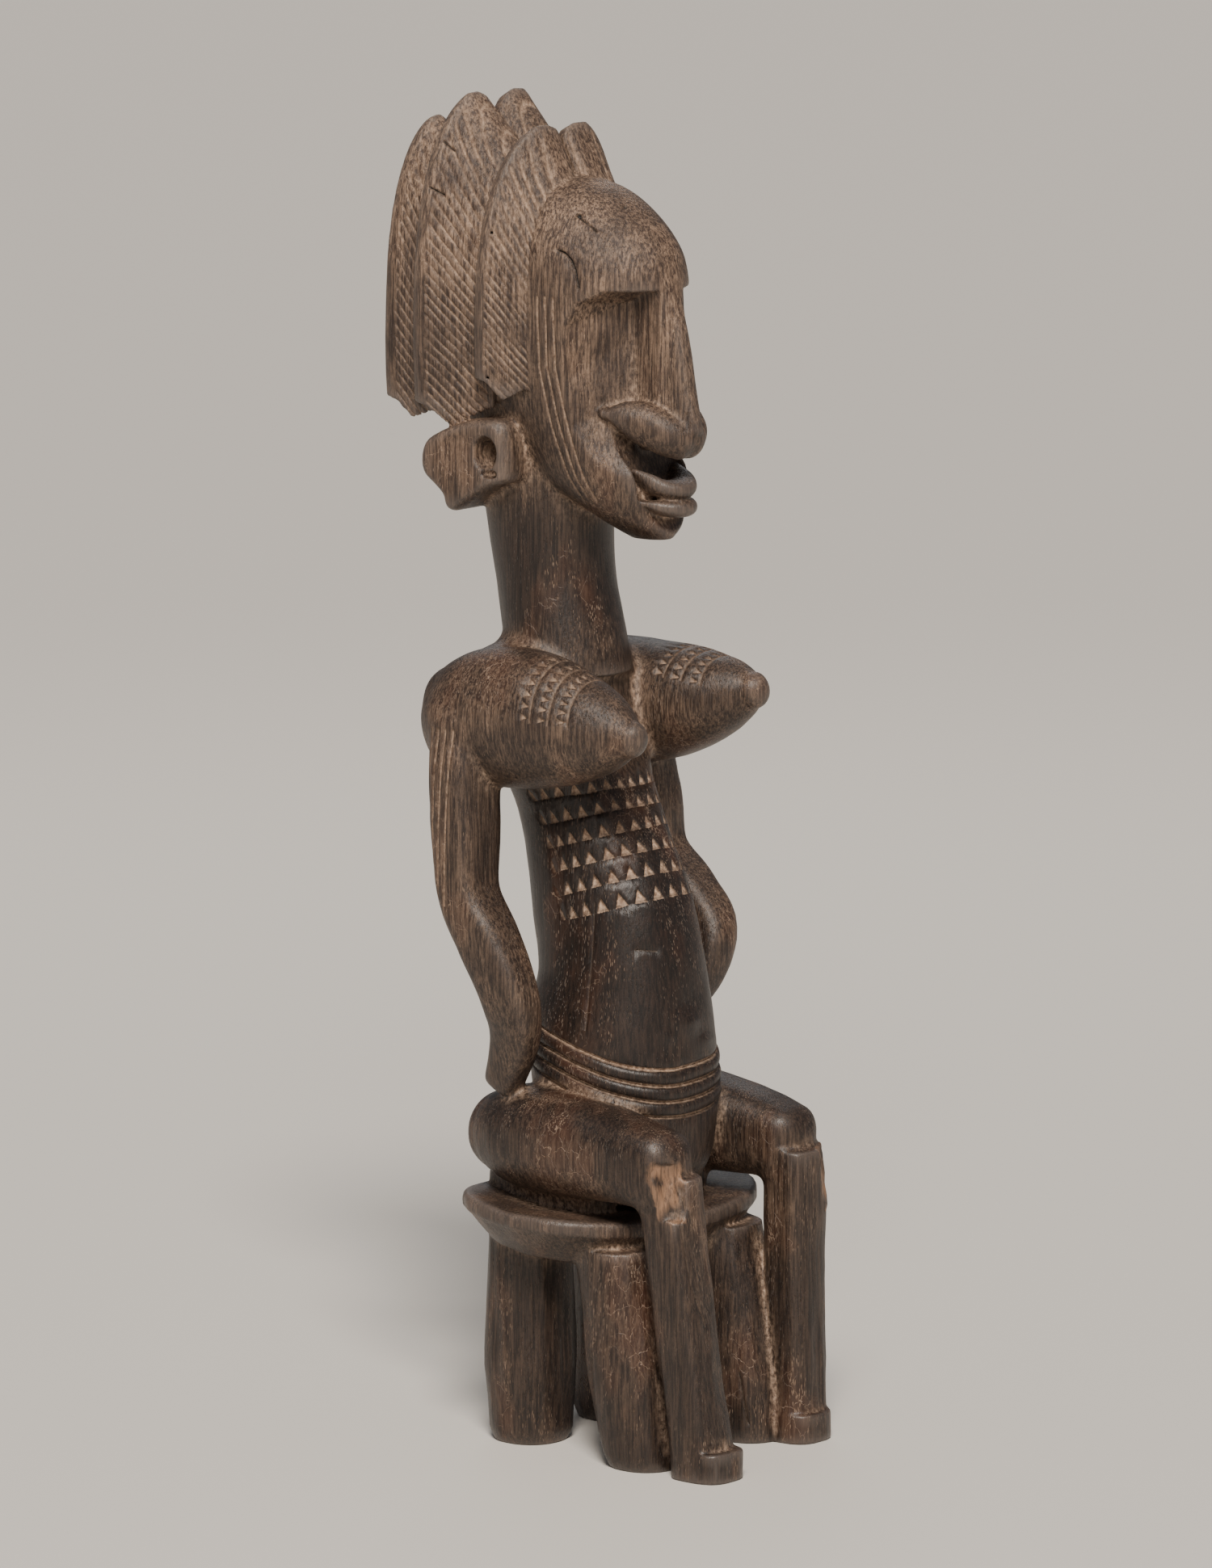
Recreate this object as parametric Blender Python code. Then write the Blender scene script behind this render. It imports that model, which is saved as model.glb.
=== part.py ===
"""A carved wooden figure of a woman seated on a four-legged stool, cut from a single log.

The figure faces -Y, with its own right side at -X. The origin is on the floor, under the middle of the
figure's box. The stool's sizes are real sizes. The body follows its sitting height: its points and half
sizes are written in parts of that height, 557 to the whole, counted up from the middle of the seat's top.
"""

import math

import bmesh
import bpy
from mathutils import Vector

# Driving sizes, in metres.
SITTING_HEIGHT = 0.557  # from the seat to the tip of the tallest lobe of hair
SEAT_HEIGHT = 0.121
SEAT_WIDTH = 0.164
SEAT_DEPTH = 0.110
SEAT_RIM = 0.009  # thickness of the seat at its edge
SEAT_DISH = 0.007  # how much higher its two ends are than its middle
SEAT_BELLY = 0.030  # thickness of the seat where the legs join it
STOOL_LEG_WIDTH = 0.043
SHIN_WIDTH = 0.031
SHIN_DEPTH = 0.029
FOOT_STEP = 0.0025  # how far the worn toes stand out of the shin
FOOT_HEIGHT = 0.014
LOBE_EDGE = 0.0055  # thickness of the back edge of each lobe of hair
HATCH_PITCH = 0.0122  # spacing of the cut lines in the hair
HATCH_DEPTH = 0.0016
TOOTH_ROWS = 6
TOOTH_PITCH = 0.0116  # height of one row of the scar pattern on the belly
TOOTH_DEPTH = 0.0024
BELT_BANDS = 3
BELT_PITCH = 0.0082
BELT_DEPTH = 0.0020

PART = SITTING_HEIGHT / 557
SEAT_MIDDLE_Y = -0.035
SEAT_LIFT = 0.15  # how steeply the seat climbs behind the body
SIDES = (-1, 1)  # the figure's own right, then its left


def body(x, y, z):
    """A point of the body, in metres, from its parts of the sitting height above the seat."""
    return Vector((x * PART, y * PART, SEAT_HEIGHT + z * PART))


def smooth_between(values, share):
    """Catmull-Rom curve through a list of equal-length tuples, at share 0 to 1 of the way along it."""
    last = len(values) - 1
    place = min(share * last, last - 1e-9)
    i = int(place)
    t = place - i
    before, start, end, after = (values[max(0, min(last, i + k))] for k in (-1, 0, 1, 2))
    return tuple(
        0.5 * (2 * b + (c - a) * t + (2 * a - 5 * b + 4 * c - d) * t * t + (3 * b - a - 3 * c + d) * t**3)
        for a, b, c, d in zip(before, start, end, after)
    )


def superellipse(angle, half_side, half_depth, squareness):
    """A point of a rounded outline: squareness 2 is an ellipse, and more is nearer to a rectangle."""
    c, s = math.cos(angle), math.sin(angle)
    return (
        half_side * math.copysign(abs(c) ** (2 / squareness), c),
        half_depth * math.copysign(abs(s) ** (2 / squareness), s),
    )


def add_mesh(name, rings, collection):
    """A closed skin over rings of equal count, capped flat at both ends."""
    mesh = bmesh.new()
    loops = [[mesh.verts.new(p) for p in ring] for ring in rings]
    count = len(loops[0])
    for low, high in zip(loops, loops[1:]):
        for i in range(count):
            j = (i + 1) % count
            mesh.faces.new((low[i], low[j], high[j], high[i]))
    mesh.faces.new(loops[0][::-1])
    mesh.faces.new(loops[-1])
    bmesh.ops.remove_doubles(mesh, verts=mesh.verts, dist=1e-5)
    bmesh.ops.dissolve_degenerate(mesh, edges=mesh.edges, dist=1e-6)
    bmesh.ops.recalc_face_normals(mesh, faces=mesh.faces)
    data = bpy.data.meshes.new(name)
    mesh.to_mesh(data)
    mesh.free()
    form = bpy.data.objects.new(name, data)
    collection.objects.link(form)
    form.hide_render = True
    form.display_type = "WIRE"
    return form


DOME = (0.0, 0.6, 0.93)  # how far along a rounded end its rings lie


def column(name, stations, collection, sides=20, steps=14):
    """An upright form. A station is (x, y, z, half width, half depth, squareness, tilt), in parts.

    tilt lifts the back of the ring, as a share of its depth.
    """
    rings = []
    for k in range(steps + 1):
        x, y, z, wide, deep, square, tilt = smooth_between(stations, k / steps)
        ring = []
        for i in range(sides):
            angle = math.tau * i / sides
            side, depth = superellipse(angle, wide, deep, square)
            ring.append(body(x + side, y + depth, z + tilt * depth))
        rings.append(ring)
    return add_mesh(name, rings, collection)


def limb(name, stations, collection, sides=14, steps=9, ends=(0, 0)):
    """A form along a path. A station is (x, y, z, half width, half thickness, squareness), in parts.

    ends gives the length of the rounded end at the start and at the finish; 0 leaves it flat.
    """
    samples = [smooth_between(stations, k / steps) for k in range(steps + 1)]
    points = [body(*s[:3]) for s in samples]
    run = points[-1] - points[0]
    across = Vector((0, 1, 0)) if abs(run.x) > 0.8 * run.length else Vector((1, 0, 0))
    rings = []
    for k, sample in enumerate(samples):
        along = (points[min(k + 1, steps)] - points[max(k - 1, 0)]).normalized()
        side = (across - along * along.dot(across)).normalized()
        depth = along.cross(side)
        reach = [0.0]
        if k == 0 and ends[0]:
            reach = [-ends[0] * d for d in reversed(DOME)]
        if k == steps and ends[1]:
            reach = [ends[1] * d for d in DOME]
        for r in reach:
            round_off = math.sqrt(1 - (r / (ends[0] if k == 0 else ends[1])) ** 2) if r else 1.0
            ring = []
            for i in range(sides):
                w, d = superellipse(math.tau * i / sides, *sample[3:])
                ring.append(points[k] + along * r * PART + (side * w + depth * d) * round_off * PART)
            rings.append(ring)
    return add_mesh(name, rings, collection)


def mirrored(stations, side):
    """The same stations on the figure's right (-1) or left (1). They are written for the left."""
    return [(side * s[0], *s[1:]) for s in stations]


# The pose and proportions of the body, in parts of the sitting height above the seat.

TORSO = [  # x, y, z, half width, half depth, squareness, tilt of the ring
    (0, -46, 3, 24, 30, 2.2, 0.0),
    (0, -45, 30, 34, 44, 2.3, 0.1),
    (0, -44, 62, 43, 47, 2.3, 0.20),
    (0, -43, 90, 43, 46, 2.3, 0.20),
    (0, -42.5, 118, 37, 42.5, 2.4, 0.0),
    (0, -36, 150, 34, 39.5, 2.4, -0.25),
    (0, -20.5, 200, 34, 31.5, 2.4, -0.25),
    (0, -8, 235, 44, 31, 2.4, -0.05),
    (0, -3, 262, 44, 30, 2.2, 0.0),
    (0, -3, 284, 27, 27, 2.0, 0.0),
]
NECK = [
    (0, -6, 268, 33, 33, 2.0, 0.0),
    (0, -5, 285, 31, 31, 2.0, 0.0),
    (0, 0, 310, 30.5, 30.5, 2.0, 0.0),
    (0, 4, 337, 31, 32, 2.0, 0.0),
    (0, 6, 372, 32, 36, 2.0, 0.0),
    (0, 6, 400, 30, 36, 2.0, 0.0),
]
HEAD = [
    (0, -62, 339, 8, 11, 2.0, 0.0),
    (0, -52, 349, 20, 25, 2.0, 0.1),
    (0, -38, 366, 30, 39, 2.1, 0.0),
    (0, -26, 388, 36, 51, 2.1, 0.0),
    (0, -16, 414, 40, 59, 2.1, 0.0),
    (0, -12, 440, 42, 63, 2.1, 0.0),
    (0, -11, 462, 42, 65, 2.1, 0.0),
    (0, -8, 481, 40.5, 63.5, 2.1, 0.0),
    (0, -2, 498, 35, 55.5, 2.1, 0.0),
    (0, 4, 511, 26, 41, 2.1, 0.0),
    (0, 9, 517.5, 11, 19, 2.0, 0.0),
]
HAIR_CORE = [
    (0, 28, 396, 20, 34, 2.2, 0.0),
    (0, 29, 412, 34, 40, 2.3, 0.0),
    (0, 29, 460, 36, 41, 2.3, 0.0),
    (0, 27, 496, 31, 38, 2.2, 0.0),
    (0, 25, 522, 18, 32, 2.2, 0.0),
]
SHOULDERS = [  # x, y, z, half width, half thickness, squareness, along the path
    (-64, 12, 240, 20, 22, 2.1),
    (-44, 6, 251, 27, 29, 2.2),
    (0, 0, 258, 30, 30, 2.4),
    (44, 6, 249, 27, 29, 2.2),
    (64, 12, 238, 20, 22, 2.1),
]
RIGHT_BREAST = [
    (-51, 21, 245, 21, 28, 2.1),
    (-51, 0, 249, 27, 34, 2.1),
    (-50, -30, 250, 28, 34.5, 2.1),
    (-50, -56, 248.5, 24.5, 28.5, 2.1),
    (-50, -78, 247, 17, 19, 2.1),
    (-50, -90, 246, 9, 9.5, 2.0),
]
LEFT_BREAST = [
    (51, 21, 243, 21, 28, 2.1),
    (51, 0, 246, 27, 33, 2.1),
    (50, -30, 249, 28, 30, 2.1),
    (50, -54, 253, 24.5, 25, 2.1),
    (50, -74, 257, 17, 17, 2.1),
    (50, -86, 259, 9, 9.5, 2.0),
]
RIGHT_ARM = [
    (-62, 6, 246, 18, 17, 2.1),
    (-66, 5, 222, 18, 15.5, 2.6),
    (-68, 2.5, 190, 17, 14, 3.2),
    (-70, -1, 163, 15, 12.5, 3.4),
    (-69, -13, 140, 14, 14, 3.4),
    (-67, -24, 116, 12.5, 14, 3.2),
    (-61, -24, 92, 10, 13, 3.0),
    (-56, -12, 66, 8, 10, 2.8),
]
LEFT_ARM = [
    (62, 8, 246, 18, 17, 2.1),
    (66, 3, 222, 17, 16, 2.6),
    (68, -4, 194, 15.5, 14, 3.2),
    (70, -8.5, 168, 14, 12.5, 3.4),
    (69, -27, 150, 13.5, 13.5, 3.4),
    (66, -45, 131, 12, 13, 3.2),
    (58, -46, 110, 10, 11, 3.0),
    (50, -40, 92, 8, 8, 2.6),
]
RIGHT_THIGH = [
    (-38, 0, 37, 22, 21, 2.1),
    (-43, -18, 38, 25, 26, 2.2),
    (-46, -48, 37, 24, 26, 2.3),
    (-47, -82, 35, 20.5, 22.5, 2.6),
    (-47, -106, 32, 18, 20, 3.0),
]
LEFT_THIGH = [
    (38, 0, 37, 22, 21, 2.1),
    (44, -18, 38, 25, 26, 2.2),
    (49, -48, 37, 24, 26, 2.3),
    (54, -80, 34, 20.5, 22.5, 2.6),
    (56, -103, 30, 18, 19, 3.0),
]
THIGH_REST = [(28, 6, 12, 14, 16, 2.2), (33, -26, 10, 17, 16, 2.2), (36, -56, 10, 13, 12, 2.2)]
EAR = [
    (34, -4, 384, 8, 9, 2.4),
    (43, 13, 386, 7, 9.5, 2.4),
    (49, 30, 381, 7, 9.5, 2.4),
    (49, 34, 368, 7, 9.5, 2.4),
    (43, 22, 358, 7, 9.5, 2.4),
    (34, 6, 362, 8, 9, 2.4),
]
EAR_PLATE = [(30, 16, 372, 9, 15, 2.2), (43, 18, 372, 5, 13, 2.2)]
NOSE = [
    (0, -57.5, 463, 7, 17, 3.0),
    (0, -62.5, 440, 7.5, 20, 3.0),
    (0, -68.5, 410, 8, 20, 2.8),
    (0, -72, 391, 8, 21, 2.4),
]
NOSTRIL = [
    (21.5, -52, 402, 5, 3, 2.2),
    (18.5, -59, 401, 8, 7.5, 2.2),
    (14, -67, 398, 9.5, 10.5, 2.2),
    (8, -77, 392.5, 10, 10.5, 2.2),
    (2, -83, 388, 8, 9, 2.2),
]
UPPER_LIP = [
    (-15.5, -63, 372.5, 3.5, 1.8, 2.2),
    (-9.5, -72, 366, 8, 4.2, 2.3),
    (0, -76, 364, 9.5, 5.0, 2.4),
    (9.5, -72, 366, 8, 4.2, 2.3),
    (15.5, -63, 372.5, 3.5, 1.8, 2.2),
]
LOWER_LIP = [
    (-14, -68, 357.5, 4, 1.5, 2.2),
    (-8, -74, 355.8, 7.5, 3.8, 2.4),
    (0, -77.5, 355, 9.5, 4.6, 2.6),
    (8, -74, 355.8, 7.5, 3.8, 2.4),
    (14, -68, 357.5, 4, 1.5, 2.2),
]
MUZZLE = [(0, -50, 357, 20, 16, 2.4), (0, -70, 358, 15, 13, 2.4)]

# Each lobe of hair: how far it spreads and rises, as the half axes of two arches about CROWN, one
# where its face starts on the head and one at its back edge, with the place of each front to back,
# and the angles at which the lobe starts and ends, from level at the side round to the crown. Past its
# last angle it runs on towards the middle, by steps of (half width, drop from its top).
CROWN = 443
LOBES = {
    "front": {
        "start": (42, 72, -18), "edge": (53, 102.5, 6, -3), "angles": (-20, 74),
        "inner": [(10, 0), (4, 2), (1, 7)],
    },
    "middle": {
        "start": (41, 86, 9), "edge": (52, 119, 47, 40), "angles": (-25, 71),
        "inner": [(14, -0.5), (8, 2), (1, 10)],
    },
    "rear": {
        "start": (38, 84, 46), "edge": (39, 106, 77, 68), "angles": (-28, 69),
        "inner": [(11, -1), (6, 2), (1, 8)],
    },
}
LOBE_ROOT = 0.5  # the inner corner of a lobe, as a share of its arch
HATCH_LEAN = math.radians(19)  # how far round a cut line climbs from the face's start to the edge


def arch(side, axes, y, angle):
    """A point of a lobe's arch, which is a little squarer than an ellipse."""
    across, rise = superellipse(angle, *axes, 2.45)
    return body(side * across, y, CROWN + rise)


def hair_lobe(name, side, start, edge, angles, inner, collection):
    """A blade of hair. Cut lines lean across its face, and their ridges and grooves are the mesh's rows."""
    low, high = (math.radians(a) for a in angles)
    run = (high - low + HATCH_LEAN) * edge[1] * PART
    rows = 2 * round(run / HATCH_PITCH)
    deep = LOBE_EDGE / PART
    rings = []
    for k in range(rows + 1):
        angle = low - HATCH_LEAN + (high - low + HATCH_LEAN) * k / rows
        at_start = max(angle, low)
        at_edge = min(angle + HATCH_LEAN, high)
        edge_y = edge[2] + (edge[3] - edge[2]) * ((at_edge - low) / (high - low)) ** 2
        cut = HATCH_DEPTH / PART if k % 2 else 0.0
        start_cut = cut if angle > low + 0.02 else 0.0
        edge_cut = cut if angle + HATCH_LEAN < high - 0.02 else 0.0
        rings.append(
            [
                arch(side, [a - start_cut for a in start[:2]], start[2], at_start),
                arch(side, [a - edge_cut for a in edge[:2]], edge_y, at_edge),
                arch(side, [a * 0.97 for a in edge[:2]], edge_y + deep, at_edge),
                arch(side, [a * LOBE_ROOT for a in start[:2]], start[2], at_start),
            ]
        )
    top = rings[-1]
    for half_width, drop in inner:
        share = half_width * PART / abs(top[2].x)
        fall = [drop * PART, drop * PART, drop * PART, 0.0]
        rings.append([Vector((p.x * share, p.y, p.z - f)) for p, f in zip(top, fall)])
    return add_mesh(name, rings, collection)


BELLY_TOP = 218  # where the scar pattern starts, in parts above the seat
BELT_TOP = 87
TORSO_FRONT = 22  # facets round the carved front and sides of the trunk
TORSO_BACK = 6


def torso_angles():
    """Where the trunk's corners lie round it: close together in front, and few behind."""
    front = [math.radians(-198 + 216 * i / TORSO_FRONT) for i in range(TORSO_FRONT)]
    back = [math.radians(18 + 144 * i / TORSO_BACK) for i in range(TORSO_BACK)]
    return front + back


def torso_levels():
    """The trunk's rings, as height above the seat with the cuts at its odd and at its even corners.

    A row of teeth juts out at its foot, at every other corner. A band of the belt is a rounded ring.
    """
    levels = [(z, 0.0, 0.0) for z in (3, 30, 104, 126, 238, 262, 284)]
    for k in range(TOOTH_ROWS):
        top = BELLY_TOP - k * TOOTH_PITCH / PART
        levels += [(top, TOOTH_DEPTH, TOOTH_DEPTH), (top - 0.85 * TOOTH_PITCH / PART, TOOTH_DEPTH, 0.0)]
    levels.append((BELLY_TOP - TOOTH_ROWS * TOOTH_PITCH / PART, 0.0, 0.0))
    for k in range(2 * BELT_BANDS + 1):
        cut = 0.0 if k % 2 else BELT_DEPTH
        levels.append((BELT_TOP - k * BELT_PITCH / PART / 2, cut, cut))
    return sorted(levels)


def level_share(z):
    """How far along TORSO the height z lies, 0 to 1."""
    low, high = 0.0, 1.0
    for _ in range(30):
        middle = (low + high) / 2
        if smooth_between(TORSO, middle)[2] < z:
            low = middle
        else:
            high = middle
    return low


def carved_torso(collection):
    """The trunk, with the teeth and the belt in the rings of its own mesh."""
    rings = []
    for z, *cuts in torso_levels():
        x, y, _, wide, deep, square, tilt = smooth_between(TORSO, level_share(z))
        ring = []
        for i, angle in enumerate(torso_angles()):
            cut = cuts[(i + 1) % 2] / PART if i <= TORSO_FRONT or z < BELT_TOP + 1 else 0.0
            side, depth = superellipse(angle, wide - cut, deep - cut, square)
            ring.append(body(x + side, y + depth, z + tilt * depth))
        rings.append(ring)
    return add_mesh("torso", rings, collection)


# Where the middle of each lower leg stands on the floor, in front of its knee.
SHINS = {-1: {"knee": (-47, -111, 29), "sole": (-42, -132)}, 1: {"knee": (56, -109, 28), "sole": (53, -112)}}


def shin(side, collection):
    """A lower leg from the knee to the floor, in front of the stool's leg, with worn toes."""
    knee = body(*SHINS[side]["knee"])
    sole = Vector((*(v * PART for v in SHINS[side]["sole"]), 0))
    wide, deep = SHIN_WIDTH / 2, SHIN_DEPTH / 2
    rings = []
    for share in (0.0, 0.15, 0.35, 0.6, 0.8, 1.0):
        slim = 1 - 0.08 * math.sin(math.pi * share)
        rings.append(outline(knee.lerp(sole, share), wide * slim, deep * slim, 3.0, 12))
    add_mesh(f"shin_{side}", rings, collection)
    toes = [
        outline(sole + Vector((0, -FOOT_STEP, z)), wide * 0.94, deep, 3.0, 12)
        for z in (0.0, FOOT_HEIGHT * 0.8, FOOT_HEIGHT)
    ]
    add_mesh(f"toes_{side}", toes, collection)


def outline(middle, half_width, half_depth, squareness, sides):
    """A level ring of points round middle."""
    return [
        middle + Vector((*superellipse(math.tau * i / sides, half_width, half_depth, squareness), 0))
        for i in range(sides)
    ]


def seat_rise(p):
    """How far the seat stands above its middle, at its two ends and behind."""
    return SEAT_DISH * (2 * p.x / SEAT_WIDTH) ** 2 + SEAT_LIFT * max(p.y - SEAT_MIDDLE_Y, 0)


def stool(collection):
    """The seat, thin at its rim, and four club-shaped legs."""
    profile = [  # share of the seat's outline, height under its top
        (0.0, 0.0),
        (0.96, 0.0),
        (1.0, 0.25 * SEAT_RIM),
        (1.0, SEAT_RIM),
        (0.80, 0.75 * SEAT_BELLY),
        (0.0, SEAT_BELLY),
    ]
    rings = []
    for share, drop in profile:
        middle = Vector((0, SEAT_MIDDLE_Y, SEAT_HEIGHT - drop))
        share = max(share, 0.02)
        ring = outline(middle, share * SEAT_WIDTH / 2, share * SEAT_DEPTH / 2, 2.8, 24)
        rings.append([p + Vector((0, 0, seat_rise(p))) for p in ring])
    add_mesh("seat", rings, collection)
    radius = STOOL_LEG_WIDTH / 2
    for side in SIDES:
        for end, y_share, x_share, lean in (("front", -0.70, 0.50, -0.019), ("back", 0.46, 0.40, 0.0)):
            top = Vector((side * x_share * SEAT_WIDTH / 2, SEAT_MIDDLE_Y + y_share * SEAT_DEPTH / 2, 0))
            rings = []
            for share, swell in ((0.0, 0.84), (0.06, 0.94), (0.35, 1.04), (0.7, 1.0), (1.0, 0.95)):
                middle = top + Vector((0, lean * (1 - share), share * (SEAT_HEIGHT - 0.4 * SEAT_BELLY)))
                rings.append(outline(middle, radius * swell, radius * swell, 2.2, 12))
            add_mesh(f"stool_leg_{end}_{side}", rings, collection)


def block(name, corners, collection):
    """A cutter with six sides: four corners at one end and the same four at the other."""
    return add_mesh(name, [[body(*p) for p in corners[:4]], [body(*p) for p in corners[4:]]], collection)


BROW = 462  # the height of the brow's edge, in parts above the seat
CHEEK_CUTS = [  # height, front-to-back place beside the nose and at the temple, half width of the nose
    (BROW, -56, -22, 8),
    (440, -58, -24, 8),
    (410, -61, -26, 9),
    (388, -68, -27, 11),
    (374, -78, -27, 13),
]


def cut_face(cutters):
    """The two flat cheeks under the brow, which leave the nose standing between them."""
    for side in SIDES:
        rings = []
        for z, inner, outer, nose in CHEEK_CUTS:
            rings.append(
                [
                    body(side * nose, inner, z),
                    body(side * 50, outer, z),
                    body(side * 50, -110, z),
                    body(side * nose, -110, z),
                ]
            )
        add_mesh(f"cheek_{side}", rings, cutters)


def cut_chips(cutters):
    """Broken edges at both knees, and the hollows of the ears."""
    block(
        "knee_chip_right",
        [(-70, -140, 42), (-44, -140, 42), (-44, -119, 42), (-66, -109, 42),
         (-66, -140, 8), (-49, -140, 8), (-49, -124, 8), (-64, -116, 8)],
        cutters,
    )
    block(
        "knee_chip_left",
        [(56, -140, 32), (78, -140, 32), (78, -110, 32), (58, -121, 32),
         (62, -140, -6), (78, -140, -6), (78, -119, -6), (64, -124, -6)],
        cutters,
    )
    for side in SIDES:
        limb(f"ear_hole_{side}", mirrored([(38, 6, 380, 5, 6, 2.0), (60, 6, 380, 7, 8, 2.0)], side),
             cutters, sides=10, steps=1)


def wood():
    """Dense hardwood, oiled and smoked to near black."""
    material = bpy.data.materials.new("dark_patinated_hardwood")
    material.use_nodes = True
    shader = material.node_tree.nodes["Principled BSDF"]
    shader.inputs["Base Color"].default_value = (0.055, 0.036, 0.026, 1)
    shader.inputs["Roughness"].default_value = 0.55
    shader.inputs["Metallic"].default_value = 0.0
    return material


def new_collection(name):
    collection = bpy.data.collections.new(name)
    bpy.context.scene.collection.children.link(collection)
    return collection


LIMBS = {-1: (RIGHT_BREAST, RIGHT_ARM, RIGHT_THIGH), 1: (LEFT_BREAST, LEFT_ARM, LEFT_THIGH)}


def shape_all_forms(forms):
    """Every form that the carver left standing, each as a closed skin."""
    column("neck", NECK, forms, sides=16, steps=4)
    column("head", HEAD, forms, sides=20, steps=10)
    column("hair_core", HAIR_CORE, forms, sides=14, steps=4)
    limb("shoulders", SHOULDERS, forms, sides=14, steps=6, ends=(12, 12))
    limb("nose", NOSE, forms, sides=10, steps=4, ends=(2, 6))
    limb("upper_lip", UPPER_LIP, forms, sides=8, steps=4, ends=(3, 3))
    limb("lower_lip", LOWER_LIP, forms, sides=8, steps=4, ends=(3, 3))
    limb("muzzle", MUZZLE, forms, sides=12, steps=1, ends=(0, 6))
    for side in SIDES:
        breast, arm, thigh = LIMBS[side]
        limb(f"breast_{side}", breast, forms, sides=14, steps=5, ends=(16, 8))
        limb(f"arm_{side}", arm, forms, sides=10, steps=10, ends=(0, 5))
        limb(f"thigh_{side}", thigh, forms, sides=12, steps=5, ends=(16, 14))
        limb(f"thigh_rest_{side}", mirrored(THIGH_REST, side), forms, sides=8, steps=2, ends=(8, 8))
        limb(f"nostril_{side}", mirrored(NOSTRIL, side), forms, sides=8, steps=4, ends=(6, 6))
        limb(f"ear_{side}", mirrored(EAR, side), forms, sides=8, steps=8)
        limb(f"ear_plate_{side}", mirrored(EAR_PLATE, side), forms, sides=8, steps=1)
        shin(side, forms)
        for name, lobe in LOBES.items():
            hair_lobe(f"hair_{name}_{side}", side, collection=forms, **lobe)
    stool(forms)


def join(figure, operation, collection):
    """A Boolean of the figure with every form of a collection."""
    modifier = figure.modifiers.new(operation.lower(), "BOOLEAN")
    modifier.operation = operation
    modifier.operand_type = "COLLECTION"
    modifier.collection = collection
    modifier.solver = "EXACT"


def stand_on_floor(figure, forms):
    """Moves everything so that the figure stands on the floor, over the origin."""
    ground = bpy.data.objects.new("ground", None)
    bpy.context.scene.collection.objects.link(ground)
    for form in forms:
        form.parent = ground
    graph = bpy.context.evaluated_depsgraph_get()
    corners = [Vector(c) for c in figure.evaluated_get(graph).bound_box]
    low = Vector(map(min, *corners))
    high = Vector(map(max, *corners))
    ground.location = Vector(((low.x + high.x) / -2, (low.y + high.y) / -2, -low.z))


def main():
    for old in list(bpy.data.objects):
        bpy.data.objects.remove(old)
    forms = new_collection("forms")
    cutters = new_collection("cutters")
    figure = carved_torso(bpy.context.scene.collection)
    figure.name = "seated_figure"
    figure.hide_render = False
    figure.display_type = "TEXTURED"
    figure.data.materials.append(wood())
    shape_all_forms(forms)
    cut_face(cutters)
    cut_chips(cutters)
    join(figure, "UNION", forms)
    join(figure, "DIFFERENCE", cutters)
    stand_on_floor(figure, [figure, *forms.objects, *cutters.objects])


main()
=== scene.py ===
"""A carved wooden figure of a woman seated on a four-legged stool, darkened with oil and smoke.

The whole figure is one carving from one log, so it is one piece here. Its forms are skins over rings,
merged with fillets as a knife and an adze would leave them. The finer cuts are pressed into that skin:
the hatched hair, the grooves of the cheeks and arms, the teeth on the belly and the ringed belt.
Lengths are in millimetres until the piece is made. Heights are counted from the top of the seat,
but those of the lower legs and of the block from the floor.
The figure faces -Y, and its own right side is at -X.
"""

import math
import bpy
import numpy as np
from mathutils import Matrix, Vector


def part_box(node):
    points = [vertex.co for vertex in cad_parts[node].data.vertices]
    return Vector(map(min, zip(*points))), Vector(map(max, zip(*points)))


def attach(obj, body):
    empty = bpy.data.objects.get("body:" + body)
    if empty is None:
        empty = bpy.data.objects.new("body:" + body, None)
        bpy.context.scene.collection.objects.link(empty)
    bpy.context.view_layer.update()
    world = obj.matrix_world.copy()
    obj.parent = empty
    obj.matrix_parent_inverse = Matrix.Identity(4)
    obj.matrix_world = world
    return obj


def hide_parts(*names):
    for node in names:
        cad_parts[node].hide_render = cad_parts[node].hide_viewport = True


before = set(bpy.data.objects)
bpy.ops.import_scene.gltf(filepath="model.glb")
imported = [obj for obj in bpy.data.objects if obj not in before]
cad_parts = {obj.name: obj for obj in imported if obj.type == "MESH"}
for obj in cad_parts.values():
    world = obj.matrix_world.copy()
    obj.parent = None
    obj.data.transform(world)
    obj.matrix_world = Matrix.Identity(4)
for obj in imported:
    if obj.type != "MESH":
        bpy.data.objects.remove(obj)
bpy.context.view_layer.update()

import openvdb
from mathutils import Vector

MM = 0.001
LOW, HIGH = (np.array(corner, float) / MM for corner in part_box("seated_figure"))

SEAT = 121.0  # height of the seat's top over the floor
NECK_PLACE = (0.6, 33.2, 0.0)  # where the neck's axis stands from the middle of the figure's box
SIDES = (-1, 1)  # the figure's own right, then its left

# The finest step of the sculpted block, and the size of the finished mesh.
GRAIN = 0.9
FINAL_TRIANGLES = 197000
INSIDE_BOX = 0.03  # how far inside the solid's box the carving stays
BAND = 6  # how many steps of distance are kept on each side of a skin
FAR = BAND * GRAIN
BLOCK_LOW = (-94, -158, -10)
BLOCK_HIGH = (94, 96, 690)

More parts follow.
